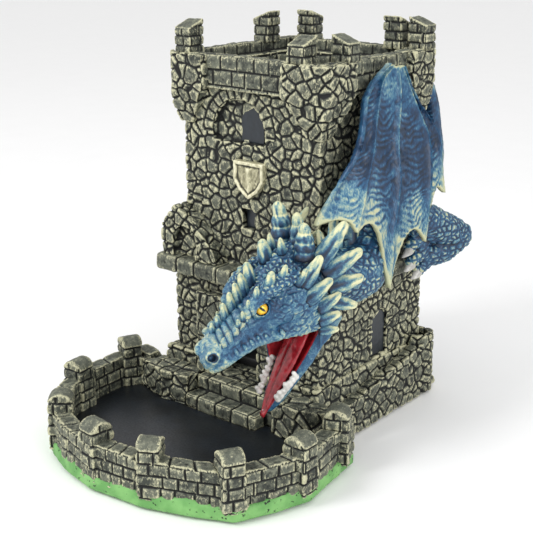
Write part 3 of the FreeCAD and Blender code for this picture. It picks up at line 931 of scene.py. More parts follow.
def build_string_course(stone):
    """The ledge, in one course of long blocks that show only their upright joints."""
    skin = bored_block(course_low, course_high, STONE_VOXEL, 1.2).skin()
    p = skin.points
    along = along_wall(p, p)
    border, tone = courses(along + 3, 0 * along + 10, 20, 11.5, 7)
    carve(skin, border, tone, 0.9, 0.6, dome=0.3, where=away_from_bore(p))
    skin.paint["tone"] = 0.4 + 0.6 * tone
    stone_piece("string_course", skin, stone)


# The turret's faces as (x, z): its front, and the strip that runs back along the left wall
TURRET_FRONT = [(-45, 70), (-45, 84), (-37, 94), (-26, 88), (-15, 77), (-12, 70)]
TURRET_SIDE = [(-45, 70), (-45, 84), (-37, 94), (-37, 70)]


def build_corner_turret(stone):
    low, high = box_mm("corner_turret")
    field = Field(low, high, STONE_VOXEL)
    field.add(prism(TURRET_FRONT, "y", low[1], -INSIDE))
    field.add(prism(TURRET_SIDE, "y", -37, high[1]))
    field.cut(doorway(-31.5, 6.5, 66, 78, low[1] - 3, -41))
    field.cut(block([-INSIDE, -INSIDE, 60], [37, 37, 110]))
    stone_piece("corner_turret", rubble(field.skin(), 5.6, 27), stone)


def build_parapet(stone):
    """The parapet, which is wider inside above its wall walk."""
    low, high = parapet_low - LAP * UP, parapet_high
    walk, inside = 155, 34
    field = Field(low, high, STONE_VOXEL)
    field.add(block(low, high, 1.0))
    field.cut(bore(parapet_low[2] - CLEAR, walk))
    field.cut(block([-inside, -inside, walk], [inside, inside, high[2] + CLEAR]))
    stone_piece("parapet", coursed(field.skin(), 6.4, 8.6, 31, 147.6), stone)


def build_bartizans(stone):
    """Four corners that stand out over the keep and lean back to its walls below."""
    out = parapet_high[0] + 3.5
    length = 22.0
    chamfer = 5.0
    foot = 130
    lean = (out - 38.0) / (WALK_LEVEL - foot)
    back = length - out
    skins = []
    for sx, sy in [(1, -1), (-1, -1), (1, 1), (-1, 1)]:
        planes = [((0, 0, 1), parapet_high[2]), ((0, 0, -1), -foot), ((sx, sy, 0), 2 * out - chamfer)]
        for nx, ny in ((sx, 0), (0, sy)):
            planes += [
                ((nx, ny, 0), out),
                ((nx, ny, -lean), out - lean * WALK_LEVEL),
                ((-nx, -ny, 0), back),
                ((-nx, -ny, -0.6), back - 0.6 * WALK_LEVEL),
            ]
        corners = np.array([[-sx * back, -sy * back, foot], [sx * out, sy * out, 160]], float)
        low, high = corners.min(0), corners.max(0)
        field = Field(low, high, STONE_VOXEL)
        field.add(hull(planes, low, high))
        field.cut(block([-INSIDE, -INSIDE, 100], [INSIDE, INSIDE, WALK_LEVEL + 0.5]))
        field.cut(block([-38.5, -38.5, WALK_LEVEL], [38.5, 38.5, 170]))
        skins.append(rubble(field.skin(), 6.0, 35))
    stone_piece("corner_bartizans", joined(skins), stone)


# Each merlon's middle, the way it faces, and its top
MERLONS = [
    (26.5, -36, 0, -1, 170),
    (-34, -36, 0, -1, 173),
    (36, -19.5, 1, 0, 170),
    (36.5, 36.5, 1, 0, 173),
    (24, 36, 0, 1, 173),
    (-36, 18.5, -1, 0, 173),
    (-24, 36, 0, 1, 173),
]


def build_merlons(stone):
    """Square merlons whose tops slope down outwards."""
    half = 4.5
    drop = 3.5
    slope = drop / (2 * half)
    foot = parapet_high[2] - LAP
    skins = []
    for x, y, ox, oy, top in MERLONS:
        planes = [
            ((1, 0, 0), x + half),
            ((-1, 0, 0), half - x),
            ((0, 1, 0), y + half),
            ((0, -1, 0), half - y),
            ((0, 0, -1), -foot),
            ((ox * slope, oy * slope, 1), top - drop / 2 + slope * (ox * x + oy * y)),
        ]
        low, high = [x - half, y - half, foot], [x + half, y + half, top]
        field = Field(low, high, STONE_VOXEL)
        field.add(hull(planes, low, high))
        skin = field.skin().smooth(2)
        normals = skin.averaged(skin.normals(), 2)
        u = along_wall(skin.points, normals)
        border, tone = courses(u + x + y, skin.points[:, 2] - foot + 0.6, 4.1, 6.5, 41)
        capped = normals[:, 2] > 0.6
        border[capped] = 3.0
        tone[capped] = 0.9
        skins.append(carve(skin, border, tone, 0.7, 0.55, lump=0.35))
    stone_piece("parapet_merlons", joined(skins), stone)


def build_terrace_wall(stone):
    """The low wall on the right, with a hollow round bastion at its back."""
    low, high = box_mm("terrace_wall")
    bastion = (42, 34)
    profile = [(-44, low[2]), (-44, 16), (-26, 17), (10, 23), (32, 27), (32, low[2])]
    field = Field(low, high, STONE_VOXEL)
    field.add(prism(profile, "x", 43, 49))
    field.add(drum(bastion, 8, low[2], 30))
    field.cut(drum(bastion, 5, 25, 40))
    field.cut(block([-INSIDE, -INSIDE, 0], [INSIDE, INSIDE, 60]))
    stone_piece("terrace_wall", rubble(field.skin(), 6.0, 45), stone)


PLINTHS = {
    "left_gate_plinth": [(-52, -44), (-52, -54), (-34, -59), (-20, -57), (-20, -44)],
    "right_gate_plinth": [(26, -54), (40, -57), (52, -52), (52, -44), (26, -44)],
}


def build_plinths(stone):
    for name, outline in PLINTHS.items():
        low, high = box_mm(name)
        field = Field(low, high, STONE_VOXEL)
        field.add(prism(outline, "z", low[2], high[2]))
        stone_piece(name, rubble(field.skin().smooth(1), 7.0, 51), stone)


def build_steps(stone):
    low, high = box_mm("entry_steps")
    field = Field(low, high, STONE_VOXEL)
    field.add(block([-20, -50, low[2]], [26, high[1], high[2]], 0.6))
    field.add(block([-20, low[1], low[2]], [20, -49, 12.5], 0.6))
    stone_piece("entry_steps", coursed(field.skin(), 6.5, 10.0, 57, 6.0), stone)


# The tray's rim in plan, from the gate's left round to its right
TRAY_EDGE = [
    (-60, -42),
    (-64, -60),
    (-63, -80),
    (-56, -100),
    (-42, -117),
    (-24, -125),
    (-5, -129),
    (22, -126),
    (41, -119),
    (56, -112),
    (63, -97),
    (68, -82),
    (65, -62),
    (63, -46),
]
TRAY_OUTLINE = TRAY_EDGE + [(47, -44), (-50, -44)]
TRAY_WALL = 7.5
TRAY_MIDDLE = (0.0, -82.0)
TRAY_RADIUS = 56.0
# The tray's wall is open between these two x, behind this y
OPEN_LEFT, OPEN_RIGHT, OPEN_BEHIND = -48.5, 47, -60
# The buttresses' middles
BUTTRESSES = [
    (-58, -55),
    (-56, -88),
    (-36, -115),
    (-5, -124),
    (22, -121),
    (52, -110),
    (64, -83),
    (61, -55),
]


def wall_band(low, high):
    """The band along the tray's edge, open towards the gate."""
    points = np.array(TRAY_OUTLINE, float)

    def distance(x, y, z):
        flat = outline_distance(points, x, y)
        ring = np.maximum(flat, -flat - TRAY_WALL)
        opening = np.maximum(np.maximum(OPEN_LEFT - x, x - OPEN_RIGHT), OPEN_BEHIND - y)
        ring = np.maximum(ring, -opening)
        return np.maximum(ring, beyond(z, low, high))

    return Shape([*points.min(0), low], [*points.max(0), high], distance)


def sheet(outline, low, high, inset, spare=0.0):
    """A flat sheet inside an outline, drawn in by inset and thicker than its box by spare on each side."""
    points = np.array(outline, float)

    def distance(x, y, z):
        flat = outline_distance(points, x, y) + inset
        return np.maximum(flat, beyond(z, low[2], high[2]) - spare)

    return Shape(low - 1, high + 1, distance)


def build_tray_wall(stone):
    low, high = box_mm("tray_wall")
    field = Field(low, high, STONE_VOXEL)
    field.add(wall_band(low[2] - LAP, high[2]))
    skin = field.skin().smooth(1)
    normals = skin.averaged(skin.normals(), 3)
    p = skin.points
    u = np.arctan2(p[:, 1] - TRAY_MIDDLE[1], p[:, 0] - TRAY_MIDDLE[0]) * TRAY_RADIUS
    bend = 0.5 * noise(p, 7.0, 61)
    border, tone = courses(u + bend, p[:, 2] - low[2] + bend, 5.0, 6.6, 63)
    top = normals[:, 2] > 0.7
    cap_border, cap_tone = courses(u + bend, 0 * u + 10, 20, 8.5, 66)
    border[top] = cap_border[top]
    tone[top] = 0.5 + 0.5 * cap_tone[top]
    carve(skin, border, tone, 0.85, 0.6, lump=0.3)
    stone_piece("tray_wall", skin, stone)


def build_buttresses(stone):
    """Round-topped piers that straddle the tray's wall, each turned towards the tray's middle."""
    low, high = box_mm("tray_buttresses")
    foot, top = low[2] - LAP, high[2]
    half = 4.5
    radius = (TRAY_WALL + 3.0) / 2
    shoulder = top - radius

    def rounded(u, w, z):
        head = np.sqrt(u**2 + np.maximum(z - shoulder, 0) ** 2) - radius
        return np.maximum(np.maximum(head, abs(w) - half), foot - z)

    pier = Shape([-radius, -half, foot], [radius, half, top], rounded)
    skins = []
    for x, y in BUTTRESSES:
        angle = math.atan2(y - TRAY_MIDDLE[1], x - TRAY_MIDDLE[0])
        c, s = math.cos(angle), math.sin(angle)
        field = Field(pier.low, pier.high, STONE_VOXEL)
        field.add(pier)
        skin = field.skin().smooth(2)
        p = skin.points.copy()
        normals = skin.averaged(skin.normals(), 2)
        u = along_wall(p, normals)
        border, tone = courses(u + x, p[:, 2] - low[2] + 0.3 * noise(p + x, 5.0, 71), 4.8, 6.4, 73)
        cap = (normals[:, 2] > 0.35) & (p[:, 2] > shoulder)
        border[cap] = 3.0
        tone[cap] = 0.85
        carve(skin, border, tone, 0.8, 0.6, lump=0.3)
        skins.append(skin.transformed([x, y, 0], [[c, s, 0], [-s, c, 0], [0, 0, 1]]))
    stone_piece("tray_buttresses", joined(skins), stone)


def build_ground(grass):
    """The painted foot, whose upper edge swells and dips where it laps onto the stones."""
    low, high = box_mm("tray_ground")
    field = Field(low, high, 0.8 * COARSE)
    field.add(prism(TRAY_OUTLINE, "z", low[2], high[2]))
    skin = field.skin().smooth(2)
    p = skin.points
    edge = -outline_distance(TRAY_OUTLINE, p[:, 0], p[:, 1])
    rim = (1 - smoothstep(0.5, 4.0, edge)) * (1 - smoothstep(-56, -50, p[:, 1]))
    skin.paint["lining"] = smoothstep(3.0, 4.5, edge)
    lift = 1.6 * noise(p, 9.0, 81) + 0.7 * noise(p, 3.5, 82)
    p[:, 2] += rim * smoothstep(2.0, high[2], p[:, 2]) * (1.8 + lift)
    outward = 0.5 + 0.6 * noise(p, 5.0, 83) + 0.3 * noise(p, 2.0, 84)
    skin.push(outward * rim * smoothstep(low[2], low[2] + 2, p[:, 2]))
    skin.rub(6, 0.4)
    piece("tray_ground_grass", skin, grass, "tray_ground")


def build_mat(lining):
    low, high = box_mm("tray_mat")
    field = Field(low, high, 0.7 * COARSE)
    field.add(sheet(TRAY_OUTLINE, low, high, TRAY_WALL - 0.8))
    for outline in PLINTHS.values():
        field.cut(prism(outline, "z", 0, 30))
    field.cut(block([-20, -58, 0], [20, -40, 30]))
    field.cut(block([-60, -50, 0], [60, -30, 30]))
    skin = field.skin().smooth(1)
    skin.points[:, 2] += 0.12 * noise(skin.points, 12.0, 91)
    piece("tray_mat_lining", skin, lining, "tray_mat")


# Each ramp's side as (y, z)
RAMPS = {
    "upper_ramp": [(29, 128), (-4, 106), (-4, 103), (29, 125)],
    "middle_ramp": [(-29, 98), (4, 76), (4, 73), (-29, 95)],
    "exit_ramp": [(29, 19), (29, 54), (-29, 23), (-29, 19)],
}


def build_ramps(black):
    for name, side in RAMPS.items():
        low, high = box_mm(name)
        field = Field(low, high, 0.9 * COARSE)
        field.add(prism(side, "x", low[0], high[0]))
        skin = field.skin()
        skin.push(0.12 * noise(skin.points, 3.0, 95))
        piece(name + "_paint", skin, black, name)


def build_felt(felt):
    """The pad under the foot, cut flat at its box's top and bottom."""
    low, high = box_mm("base_felt")
    outline = TRAY_EDGE + [(47, -40), (47, 45), (-47, 45), (-50, -40)]
    field = Field(low, high, 0.7 * COARSE)
    field.add(sheet(outline, low, high, 2.5, 0.3))
    skin = field.skin()
    skin.points[:, 2] = np.clip(skin.points[:, 2], low[2], high[2])
    piece("base_felt_pad", skin, felt, "base_felt")


def build_panes(slate):
    """Three dark panes with slight dishing."""
    front = shaft_low[1] + 3.0
    side = storey_high[0] - 1.6
    window = (SIDE_ARCH[0], SIDE_WINDOW_HALF, SIDE_WINDOW_SILL, SIDE_ARCH[1])
    skins = []
    for shape in (
        doorway(-0.5, 6.2, LANCET[0] - 1, LANCET[1], front, front + 1.5),
        loophole(front, front + 1.5),
        doorway(*window, side - 1.5, side, "y"),
    ):
        field = Field(shape.low, shape.high, 0.4 * COARSE)
        field.add(shape)
        skin = field.skin()
        skin.push(0.06 * noise(skin.points, 1.6, 97))
        skins.append(skin)
    piece("window_panes_slate", joined(skins), slate, "window_panes")


# The shield's face as (x, z)
SHIELD = [(-7, 117), (9, 117), (9, 109), (6, 104.5), (1, 101), (-4, 104.5), (-7, 109)]


def build_shield(bone):
    """A plain heater shield with a raised rim and a ridge down the middle."""
    low, high = box_mm("wall_shield")
    field = Field(low, high + np.array([0, 1, 0]), 0.32 * COARSE)
    field.add(prism(SHIELD, "y", low[1], high[1] + 1))
    skin = field.skin().smooth(3)
    p = skin.points
    edge = -outline_distance(SHIELD, p[:, 0], p[:, 2])
    front = smoothstep(high[1] - 0.6, low[1] + 0.6, p[:, 1])
    dish = smoothstep(1.1, 2.0, edge) * 0.9
    ridge = np.exp(-(((p[:, 0] - 1) / 1.6) ** 2)) * 0.8 * smoothstep(1.5, 3.0, edge)
    p[:, 1] += front * (dish - ridge)
    skin.push(0.12 * noise(p, 1.4, 99))
    skin.rub(8, 0.35)
    piece("wall_shield_bone", skin, bone, "wall_shield")


# ---------------------------------------------------------------- dragon

# The head's own axes: forward along the snout, across to its left cheek, and up through the crown
HEAD_PIVOT = np.array([49.0, -50.0, 62.0])
HEAD_HEADING = np.array([-0.30, -0.95, 0.0]) / math.hypot(0.30, 0.95)
HEAD_PITCH = math.radians(25)
FORWARD = HEAD_HEADING * math.cos(HEAD_PITCH) - np.array([0, 0, 1]) * math.sin(HEAD_PITCH)
ACROSS = np.array([-HEAD_HEADING[1], HEAD_HEADING[0], 0.0])
HEAD_AXES = np.array([FORWARD, ACROSS, np.cross(FORWARD, ACROSS)])


def at_head(point):
    """A point of the head's own axes in the frame."""
    return (HEAD_PIVOT + np.array([point], float) @ HEAD_AXES)[0]


def head_piece(name, skin, material, node):
    """A piece from a skin that was built in the head's own axes."""
    piece(name, skin.transformed(HEAD_PIVOT, HEAD_AXES), material, node)


# Along the head: where, top, bottom, half width
SKULL = [
    (-7, 31, 17, 5),
    (-4, 36, 12, 9.5),
    (4, 39.3, 7.2, 12.0),
    (14, 37.6, 8.8, 12.4),
    (22, 33.0, 11.8, 10.2),
    (30, 29.6, 14.4, 8.0),
    (37, 27.4, 15.4, 7.2),
    (43, 26.3, 15.4, 7.4),
    (48, 24.6, 14.0, 6.6),
    (51, 21.6, 14.2, 4.4),
    (52.4, 19.0, 16.5, 2.0),
]
JAW = [
    (-4, 8, 1, 7),
    (0, 7.5, -1.5, 9.6),
    (8, 3.5, -5.0, 10),
    (16, -2.0, -9.2, 9.2),
    (24, -7.2, -12.8, 7.8),
    (31, -11.6, -16.2, 6.0),
    (36, -15.0, -18.4, 3.8),
    (38.5, -17.4, -19.0, 1.6),
]
TONGUE = [
    (2, 8.5, 5.0, 3.2),
    (8, 6.6, 2.0, 5.2),
    (16, 1.4, -2.8, 6.0),
    (24, -4.6, -8.4, 5.4),
    (31, -9.8, -13.0, 3.8),
    (36, -13.8, -16.6, 2.5),
    (39, -16.8, -19.0, 1.8),
    (41, -17.2, -20.6, 1.2),
]


class Loft:
    """A smooth body along the head's axis from rows of (where, top, bottom, half width)."""

    def __init__(self, rows, squareness=2.3, pitch=0.0):
        self.rows = spline(rows, 8)
        self.power = squareness
        self.pitch = pitch

    def at(self, t):
        where = self.rows[:, 0]
        return [np.interp(t, where, self.rows[:, k]) for k in (1, 2, 3)]

    def shape(self):
        top, bottom, half = self.rows[:, 1], self.rows[:, 2], self.rows[:, 3]

        def distance(t, s, v):
            high, low, wide = self.at(t)
            wide = wide * (1 - self.pitch * smoothstep(0.5, 1.05, (v - low) / (high - low)))
            tall = (high - low) / 2
            q = np.abs(s / wide) ** self.power + np.abs((v - (high + low) / 2) / tall) ** self.power
            around = (q ** (1 / self.power) - 1) * np.minimum(wide, tall)
            return np.maximum(around, np.maximum(self.rows[0, 0] - t, t - self.rows[-1, 0]))

        low = [self.rows[0, 0], -half.max(), bottom.min()]
        high = [self.rows[-1, 0], half.max(), top.max()]
        return Shape(low, high, distance)


skull = Loft(SKULL, 2.2, 0.45)
jaw = Loft(JAW, 2.6)
# The left edge of the upper lip, from the snout to the corner of the mouth
LIP = [
    (50.5, 2.0, 14.3),
    (47, 5.2, 15.2),
    (43, 6.6, 16.2),
    (36, 7.2, 16.0),
    (30, 7.9, 15.0),
    (24, 8.8, 13.0),
    (17, 9.9, 10.2),
    (8, 11.0, 7.4),
]
EYE = np.array([25.2, 7.8, 27.2])
EYE_RADIUS = 2.7
EYE_FACING = np.array([0.22, 0.93, 0.28])
NOSTRIL = np.array([49.9, 4.6, 20.6])
# The left brow: place and radius
BROW = [
    (31, 7.4, 28.6, 1.5),
    (27, 8.4, 31.2, 2.0),
    (21, 9.6, 32.6, 2.4),
    (14, 10.4, 33.0, 2.4),
    (8, 10.8, 32.0, 2.0),
]
# The hollows of the mouth, in the skull and in the jaw
palate = Loft([(t, b + 1.6, b - 6, max(w - 3.2, 0.6)) for t, _, b, w in SKULL[2:-2]])
trough = Loft([(t, a + 6, a - 2.2, max(w - 1.5, 0.5)) for t, a, _, w in JAW[1:-1]], 3.0)


def mirrored(point, side):
    """A point of the left half of the head, on the left (side 1) or on the right (side -1)."""
    p = np.array(point, float)
    p[1] *= side
    return p


def skull_field():
    field = Field([-9, -15, 2], [54, 15, 42], HEAD_VOXEL)
    field.add(skull.shape())
    for side in (-1, 1):

        def lump(centre, radii, blend):
            field.add(egg(mirrored(centre, side), radii), blend)

        def bar(a, b, ra, rb, blend):
            field.add(rod(mirrored(a, side), mirrored(b, side), ra, rb), blend)

        # Cheek and brow
        for p in spline(LIP, 2):
            bar(p, p + np.array([0, -1.4, 4.6]), 1.3, 1.7, 1.0)
        lump((8, 8.6, 17), (9.5, 5.0, 9.0), 3.0)
        lump((12, 9.2, 12.0), (6.5, 3.6, 4.8), 2.5)
        bar((24, 8.6, 19.5), (14, 11.4, 21.0), 1.8, 2.6, 2.5)
        brow = spline(BROW, 4)
        for a, b in zip(brow[:-1], brow[1:]):
            bar(a[:3], b[:3], a[3], b[3], 1.6)
        # The lip, with a row of scales over it
        lip = spline(LIP, 4)
        for a, b in zip(lip[:-1], lip[1:]):
            bar(a, b, 1.3, 1.3, 1.2)
        for i, p in enumerate(lip[1::2]):
            reach = 1.0 + 0.25 * math.sin(2.1 * i)
            lump(p + np.array([0, 0.8, 1.1]), (0.95, 1.1, 2.2 * reach), 0.3)
        # Nostril and nose ridge
        lump(NOSTRIL + np.array([-1.2, -0.8, 0]), (3.4, 2.4, 3.2), 1.6)
        bar((44, 6.4, 23.6), (33, 6.6, 26.2), 1.5, 1.4, 1.5)
        field.cut(egg(mirrored(NOSTRIL + np.array([0.2, 1.9, 0.0]), side), (1.5, 3.0, 1.35)))
        # The eye's lids and socket
        eye = mirrored(EYE, side)
        facing = mirrored(EYE_FACING, side)
        field.add(egg(eye - 0.4 * facing, (4.1, 3.5, 4.0)), 1.6)
        field.cut(egg(eye + 1.6 * facing, (2.9, 2.9, 2.55)))
        field.cut(egg(eye, (EYE_RADIUS - 0.15,) * 3))
    field.cut(palate.shape())
    return field


def nearest_of_pair(points, place):
    """The distance to a place on the head's left or its mirror image, whichever is nearer."""
    apart = [np.linalg.norm(points - mirrored(place, side), axis=1) for side in (-1, 1)]
    return np.minimum(*apart)


def build_head(hide):
    skin = skull_field().skin().smooth(1)
    p = skin.points.copy()
    t, s, v = p.T
    normals = skin.averaged(skin.normals(), 2)
    high, low, _ = skull.at(t)
    up = (v - low) / (high - low)
    # Pebbles on the forehead, larger scales on the cheeks
    fine_border, fine_tone, _ = cells(p, (2.0, 2.0, 2.0), 101)
    wide_border, wide_tone, _ = cells(p + 0.6 * noise(p, 3.0, 3)[:, None], (4.2, 3.4, 3.0), 102)
    top = smoothstep(0.45, 0.8, up) * (1 - smoothstep(22, 30, t))
    cheek = (1 - smoothstep(0.45, 0.8, up)) * (1 - smoothstep(20, 27, t))
    calm = smoothstep(3.6, 5.2, nearest_of_pair(p, EYE))
    height = top * calm * (0.75 * smoothstep(0, 0.9, fine_border) - 0.35)
    height += cheek * calm * (0.4 * smoothstep(0, 0.8, wide_border) - 0.25)
    # Folds across the nose
    phase = 2 * math.pi * (t + 0.6 * noise(p, 4.0, 5) - 0.25 * np.abs(s)) / 3.1
    fold = np.abs(np.sin(phase / 2)) ** 0.7
    nose = smoothstep(27, 31, t) * (1 - smoothstep(45, 48, t)) * smoothstep(0.55, 0.75, up)
    height += nose * (0.9 * fold - 0.55)
    snout = smoothstep(44, 48, t)
    height += 0.28 * noise(p, 2.2, 8) * calm + snout * 0.15 * noise(p, 1.2, 9)
    height += 0.22 * noise(p * np.array([0.5, 1, 1.6]), 1.6, 10) * calm
    inside = palate.shape().distance(t, s, v) < 0.5
    height[inside] = 0
    skin.push(height, normals)
    skin.rub(7, 0.34)
    skin.paint["tone"] = np.where(top > 0.5, fine_tone, wide_tone)
    skin.paint["pale"] = 0.16 + 0.2 * smoothstep(22, 10, v) - 0.1 * top + 0.14 * nose + 0.25 * snout
    # A pale rim and a dark hole for each nostril
    from_nostril = nearest_of_pair(p, NOSTRIL + [0.2, 1.4, 0])
    skin.paint["pale"] += 0.3 * smoothstep(3.3, 2.5, from_nostril) - 1.8 * smoothstep(2.3, 1.6, from_nostril)
    skin.paint["mouth"] = skin.averaged(inside.astype(float), 1)
    head_piece("dragon_head_hide", skin, hide, "dragon_head")


def build_jaw(hide):
    """The lower jaw with its hollow, and the webs of skin at the corners of the mouth."""
    field = Field([-6, -13, -21], [40, 13, 13], HEAD_VOXEL)
    field.add(jaw.shape())
    field.cut(trough.shape())
    far_web = [(-3, 2), (-3, 12), (12, 10), (19, 9), (22.8, 0.5), (25, -8), (12, -3)]
    near_web = [(-3, 2), (-3, 10), (7, 9), (8, 3.2), (10, -2), (4, -1)]
    field.add(prism(far_web, "y", -9.8, -7.8), 1.2)
    field.add(prism(near_web, "y", 8.0, 10.4), 1.2)
    field.add(block([-4, -9, 1], [-1.5, 9, 12]), 1.0)
    skin = field.skin().smooth(2)
    p = skin.points.copy()
    t, s, v = p.T
    normals = skin.averaged(skin.normals(), 2)
    between = (v > jaw.at(t)[0] - 0.5) & (s < 8.9) & (s > -8.7) & (t > -2.2)
    inside = (trough.shape().distance(t, s, v) < 0.5) | between
    mouth = skin.averaged(inside.astype(float), 1)
    height = 0.18 * noise(p, 2.4, 12) + 0.12 * noise(p * np.array([0.4, 1, 1]), 1.2, 13)
    skin.push(height * (1 - 0.5 * mouth), normals)
    skin.rub(7, 0.34)
    skin.paint["tone"] = np.full(len(p), 0.5)
    skin.paint["pale"] = 0.12 + 0.1 * noise(p, 5.0, 14)
    skin.paint["mouth"] = mouth
    head_piece("dragon_jaw_hide", skin, hide, "dragon_lower_jaw")


def build_tongue(red):
    """The tongue, with a groove down its middle."""
    field = Field([0, -6, -21], [43, 6, 11], HEAD_VOXEL)
    field.add(Loft(TONGUE, 2.0).shape())
    skin = field.skin().smooth(1)
    p = skin.points
    groove = np.exp(-((p[:, 1] / 0.8) ** 2)) * (skin.normals()[:, 2] > 0)
    skin.push(-0.7 * groove + 0.12 * noise(p, 1.6, 15))
    skin.rub(7, 0.4)
    head_piece("dragon_tongue_flesh", skin, red, "dragon_tongue")


def build_teeth(white):
    """An uneven, chunky row along each side of the jaw, and one under the upper lip on the right."""
    field = Field([14, -11, -19], [42, 11, 16], HEAD_VOXEL * 0.8)
    count = 7
    left_row = (1, (23, 8.1, -7.4), (34.5, 5.2, -13.4))
    right_row = (-1, (22, -8.2, -4.6), (36.4, -5.0, -13.0))
    for side, start, end in (left_row, right_row):
        start = np.array(start)
        end = np.array(end)
        for i in range(count):
            foot = start + (end - start) * (i + 0.5) / count
            tall = 1.1 + 0.8 * math.sin(2.4 * i + side)
            tip = foot + np.array([0.3, 0.1 * side, tall])
            field.add(rod(foot - np.array([0, 0, 0.6]), tip, 1.15, 0.85), 0.9)
    for i in range(count):
        foot = np.array([44 - 3.4 * i, -(4.4 + 0.5 * i), 16.2 - 0.75 * i])
        field.add(rod(foot, foot + np.array([0.2, 0, -1.5 - 0.5 * (i % 2)]), 0.9, 0.5), 0.3)
    skin = field.skin().smooth(1)
    skin.push(0.14 * noise(skin.points, 0.9, 16))
    skin.rub(5, 0.3)
    head_piece("dragon_teeth_enamel", skin, white, "dragon_teeth")


def build_eyes(yellow):
    """Balls with a lens-shaped upright pupil."""
    skins = []
    for side in (-1, 1):
        eye = mirrored(EYE, side)
        facing = mirrored(EYE_FACING, side)
        facing /= np.linalg.norm(facing)
        field = Field(eye - 3, eye + 3, 0.2 * COARSE)
        field.add(egg(eye, (EYE_RADIUS,) * 3))
        skin = field.skin().smooth(1)
        away = (skin.points - eye) / EYE_RADIUS
        along = np.cross(facing, np.cross([0.45, 0, 0.9], facing))
        along /= np.linalg.norm(along)
        beside = np.cross(facing, along)
        a, b = away @ along, away @ beside
        front = away @ facing > 0
        slit = smoothstep(0.24, 0.12, np.abs(b) + 0.42 * a * a) * front
        rim = smoothstep(0.80, 0.92, np.hypot(a, b))
        skin.paint["pupil"] = np.maximum(slit, np.where(front, rim, 1))
        skin.paint["ring"] = np.hypot(a, b)
        skins.append(skin)
    head_piece("dragon_eyes_ball", joined(skins), yellow, "dragon_eyes")


def spine(base, tip, wide, thick, facing, bend=0.0, rings=0, blunt=0.25, keel=0.25):
    """A leaf or horn from base to tip. Its broad side looks along facing, and it bows that way by bend."""
    base = np.array(base, float)
    tip = np.array(tip, float)
    along = tip - base
    length = np.linalg.norm(along)
    along /= length
    facing = np.array(facing, float)
    facing -= along * (facing @ along)
    facing /= np.linalg.norm(facing)
    beside = np.cross(along, facing)
    rows = max(10, int(length / (0.45 * COARSE)))
    around = 24 if wide > 1.5 else 16
    centres = []
    loops = []
    share = []
    for i in range(rows):
        l = i / (rows - 1)
        middle = base + along * length * l + facing * bend * math.sin(math.pi * l)
        taper = (1 - l) ** 0.62 * (1 - blunt) + blunt
        swell = 1 + 0.22 * math.sin(math.pi * min(1, 1.25 * l))
        close = math.sqrt(max(1 - max(0, (l - 0.88) / 0.12) ** 2, 0.02))
        ripple = 1.0
        if rings:
            ripple = 0.90 + 0.2 * abs(math.sin(math.pi * (rings * l + 0.15)))
        size = taper * swell * close * ripple
        loop = []
        for k in range(around):
            a = 2 * math.pi * k / around
            c, d = math.cos(a), math.sin(a)
            ridge = 1 + keel * max(0.0, d) ** 8 - (0.18 if keel else 0) * abs(c * d)
            loop.append(middle + beside * wide * size * c + facing * thick * size * d * ridge)
        centres.append(middle)
        loops.append(loop)
        share += [l] * around
    skin = tube(np.array(centres), np.array(loops))
    l = np.array(share + [0, 1])
    p = skin.points
    grain = noise(np.stack([p @ along * 0.25, p @ beside, p @ facing], 1), 0.8, 17)
    skin.push(0.14 * grain * wide / 2 + 0.12 * noise(p, 1.8, 18))
    skin.paint["along"] = l
    return skin


def head_spines(rows):
    """Spines in the head's own axes: base, tip, facing, width, thickness and the rest of spine's values."""
    skins = []
    for base, tip, facing, wide, thick, *rest in rows:
        looking = np.array(facing, float) @ HEAD_AXES
        skins.append(spine(at_head(base), at_head(tip), wide, thick, looking, *rest))
    return joined(skins).rub(5, 0.3)


def build_horns(horn):
    """Two large ringed horns and a smaller one between them."""
    back = (1, 0.3, 0)
    rows = [
        ((1.5, 8, 33.5), (-4.4, 8.6, 46.9), back, 3.6, 3.4, -0.8, 4, 0.42, 0.0),
        ((0, -8, 33), (-6.3, -9, 51), back, 4.0, 3.6, -0.8, 4, 0.42, 0.0),
        ((-2, 0.6, 35), (-7.3, 0.4, 47.5), back, 3.0, 2.8, -0.6, 3, 0.45, 0.0),
    ]
    piece("dragon_horns_ringed", head_spines(rows), horn, "dragon_horns")


# The crest's tips along the head's middle: where, how high, half width
CREST = [
    (10.2, 46.2, 2.6),
    (19.8, 42.0, 2.3),
    (23.9, 39.6, 2.0),
    (27.6, 37.8, 1.7),
    (31.2, 35.9, 1.6),
    (35.2, 33.6, 1.4),
    (39.2, 30.9, 1.2),
    (42.6, 29.4, 1.0),
]


def build_crest(horn):
    """The row of spikes down the head's middle, and a pair beside its tallest."""
    rows = []
    for t, v, wide in CREST:
        root = np.interp(t + 0.8, skull.rows[:, 0], skull.rows[:, 1]) - 1.6
        base, tip = (t + 1.6, -0.8, root), (t - 0.3, -0.8, v)
        rows.append((base, tip, (0.15, 1, 0), 1.12 * wide, 0.55 * wide + 0.3, 0.2, 0, 0.45, 0.3))
    for t, s, v in ((4.5, 3.4, 44.6), (5.0, -3.4, 44.8)):
        rows.append(((t + 1.8, s * 0.9, v - 7.0), (t, s, v), (0.4, 1, 0), 1.7, 1.2, 0.2, 0, 0.35, 0.3))
    piece("crest_spikes_horn", head_spines(rows), horn, "crest_spikes")


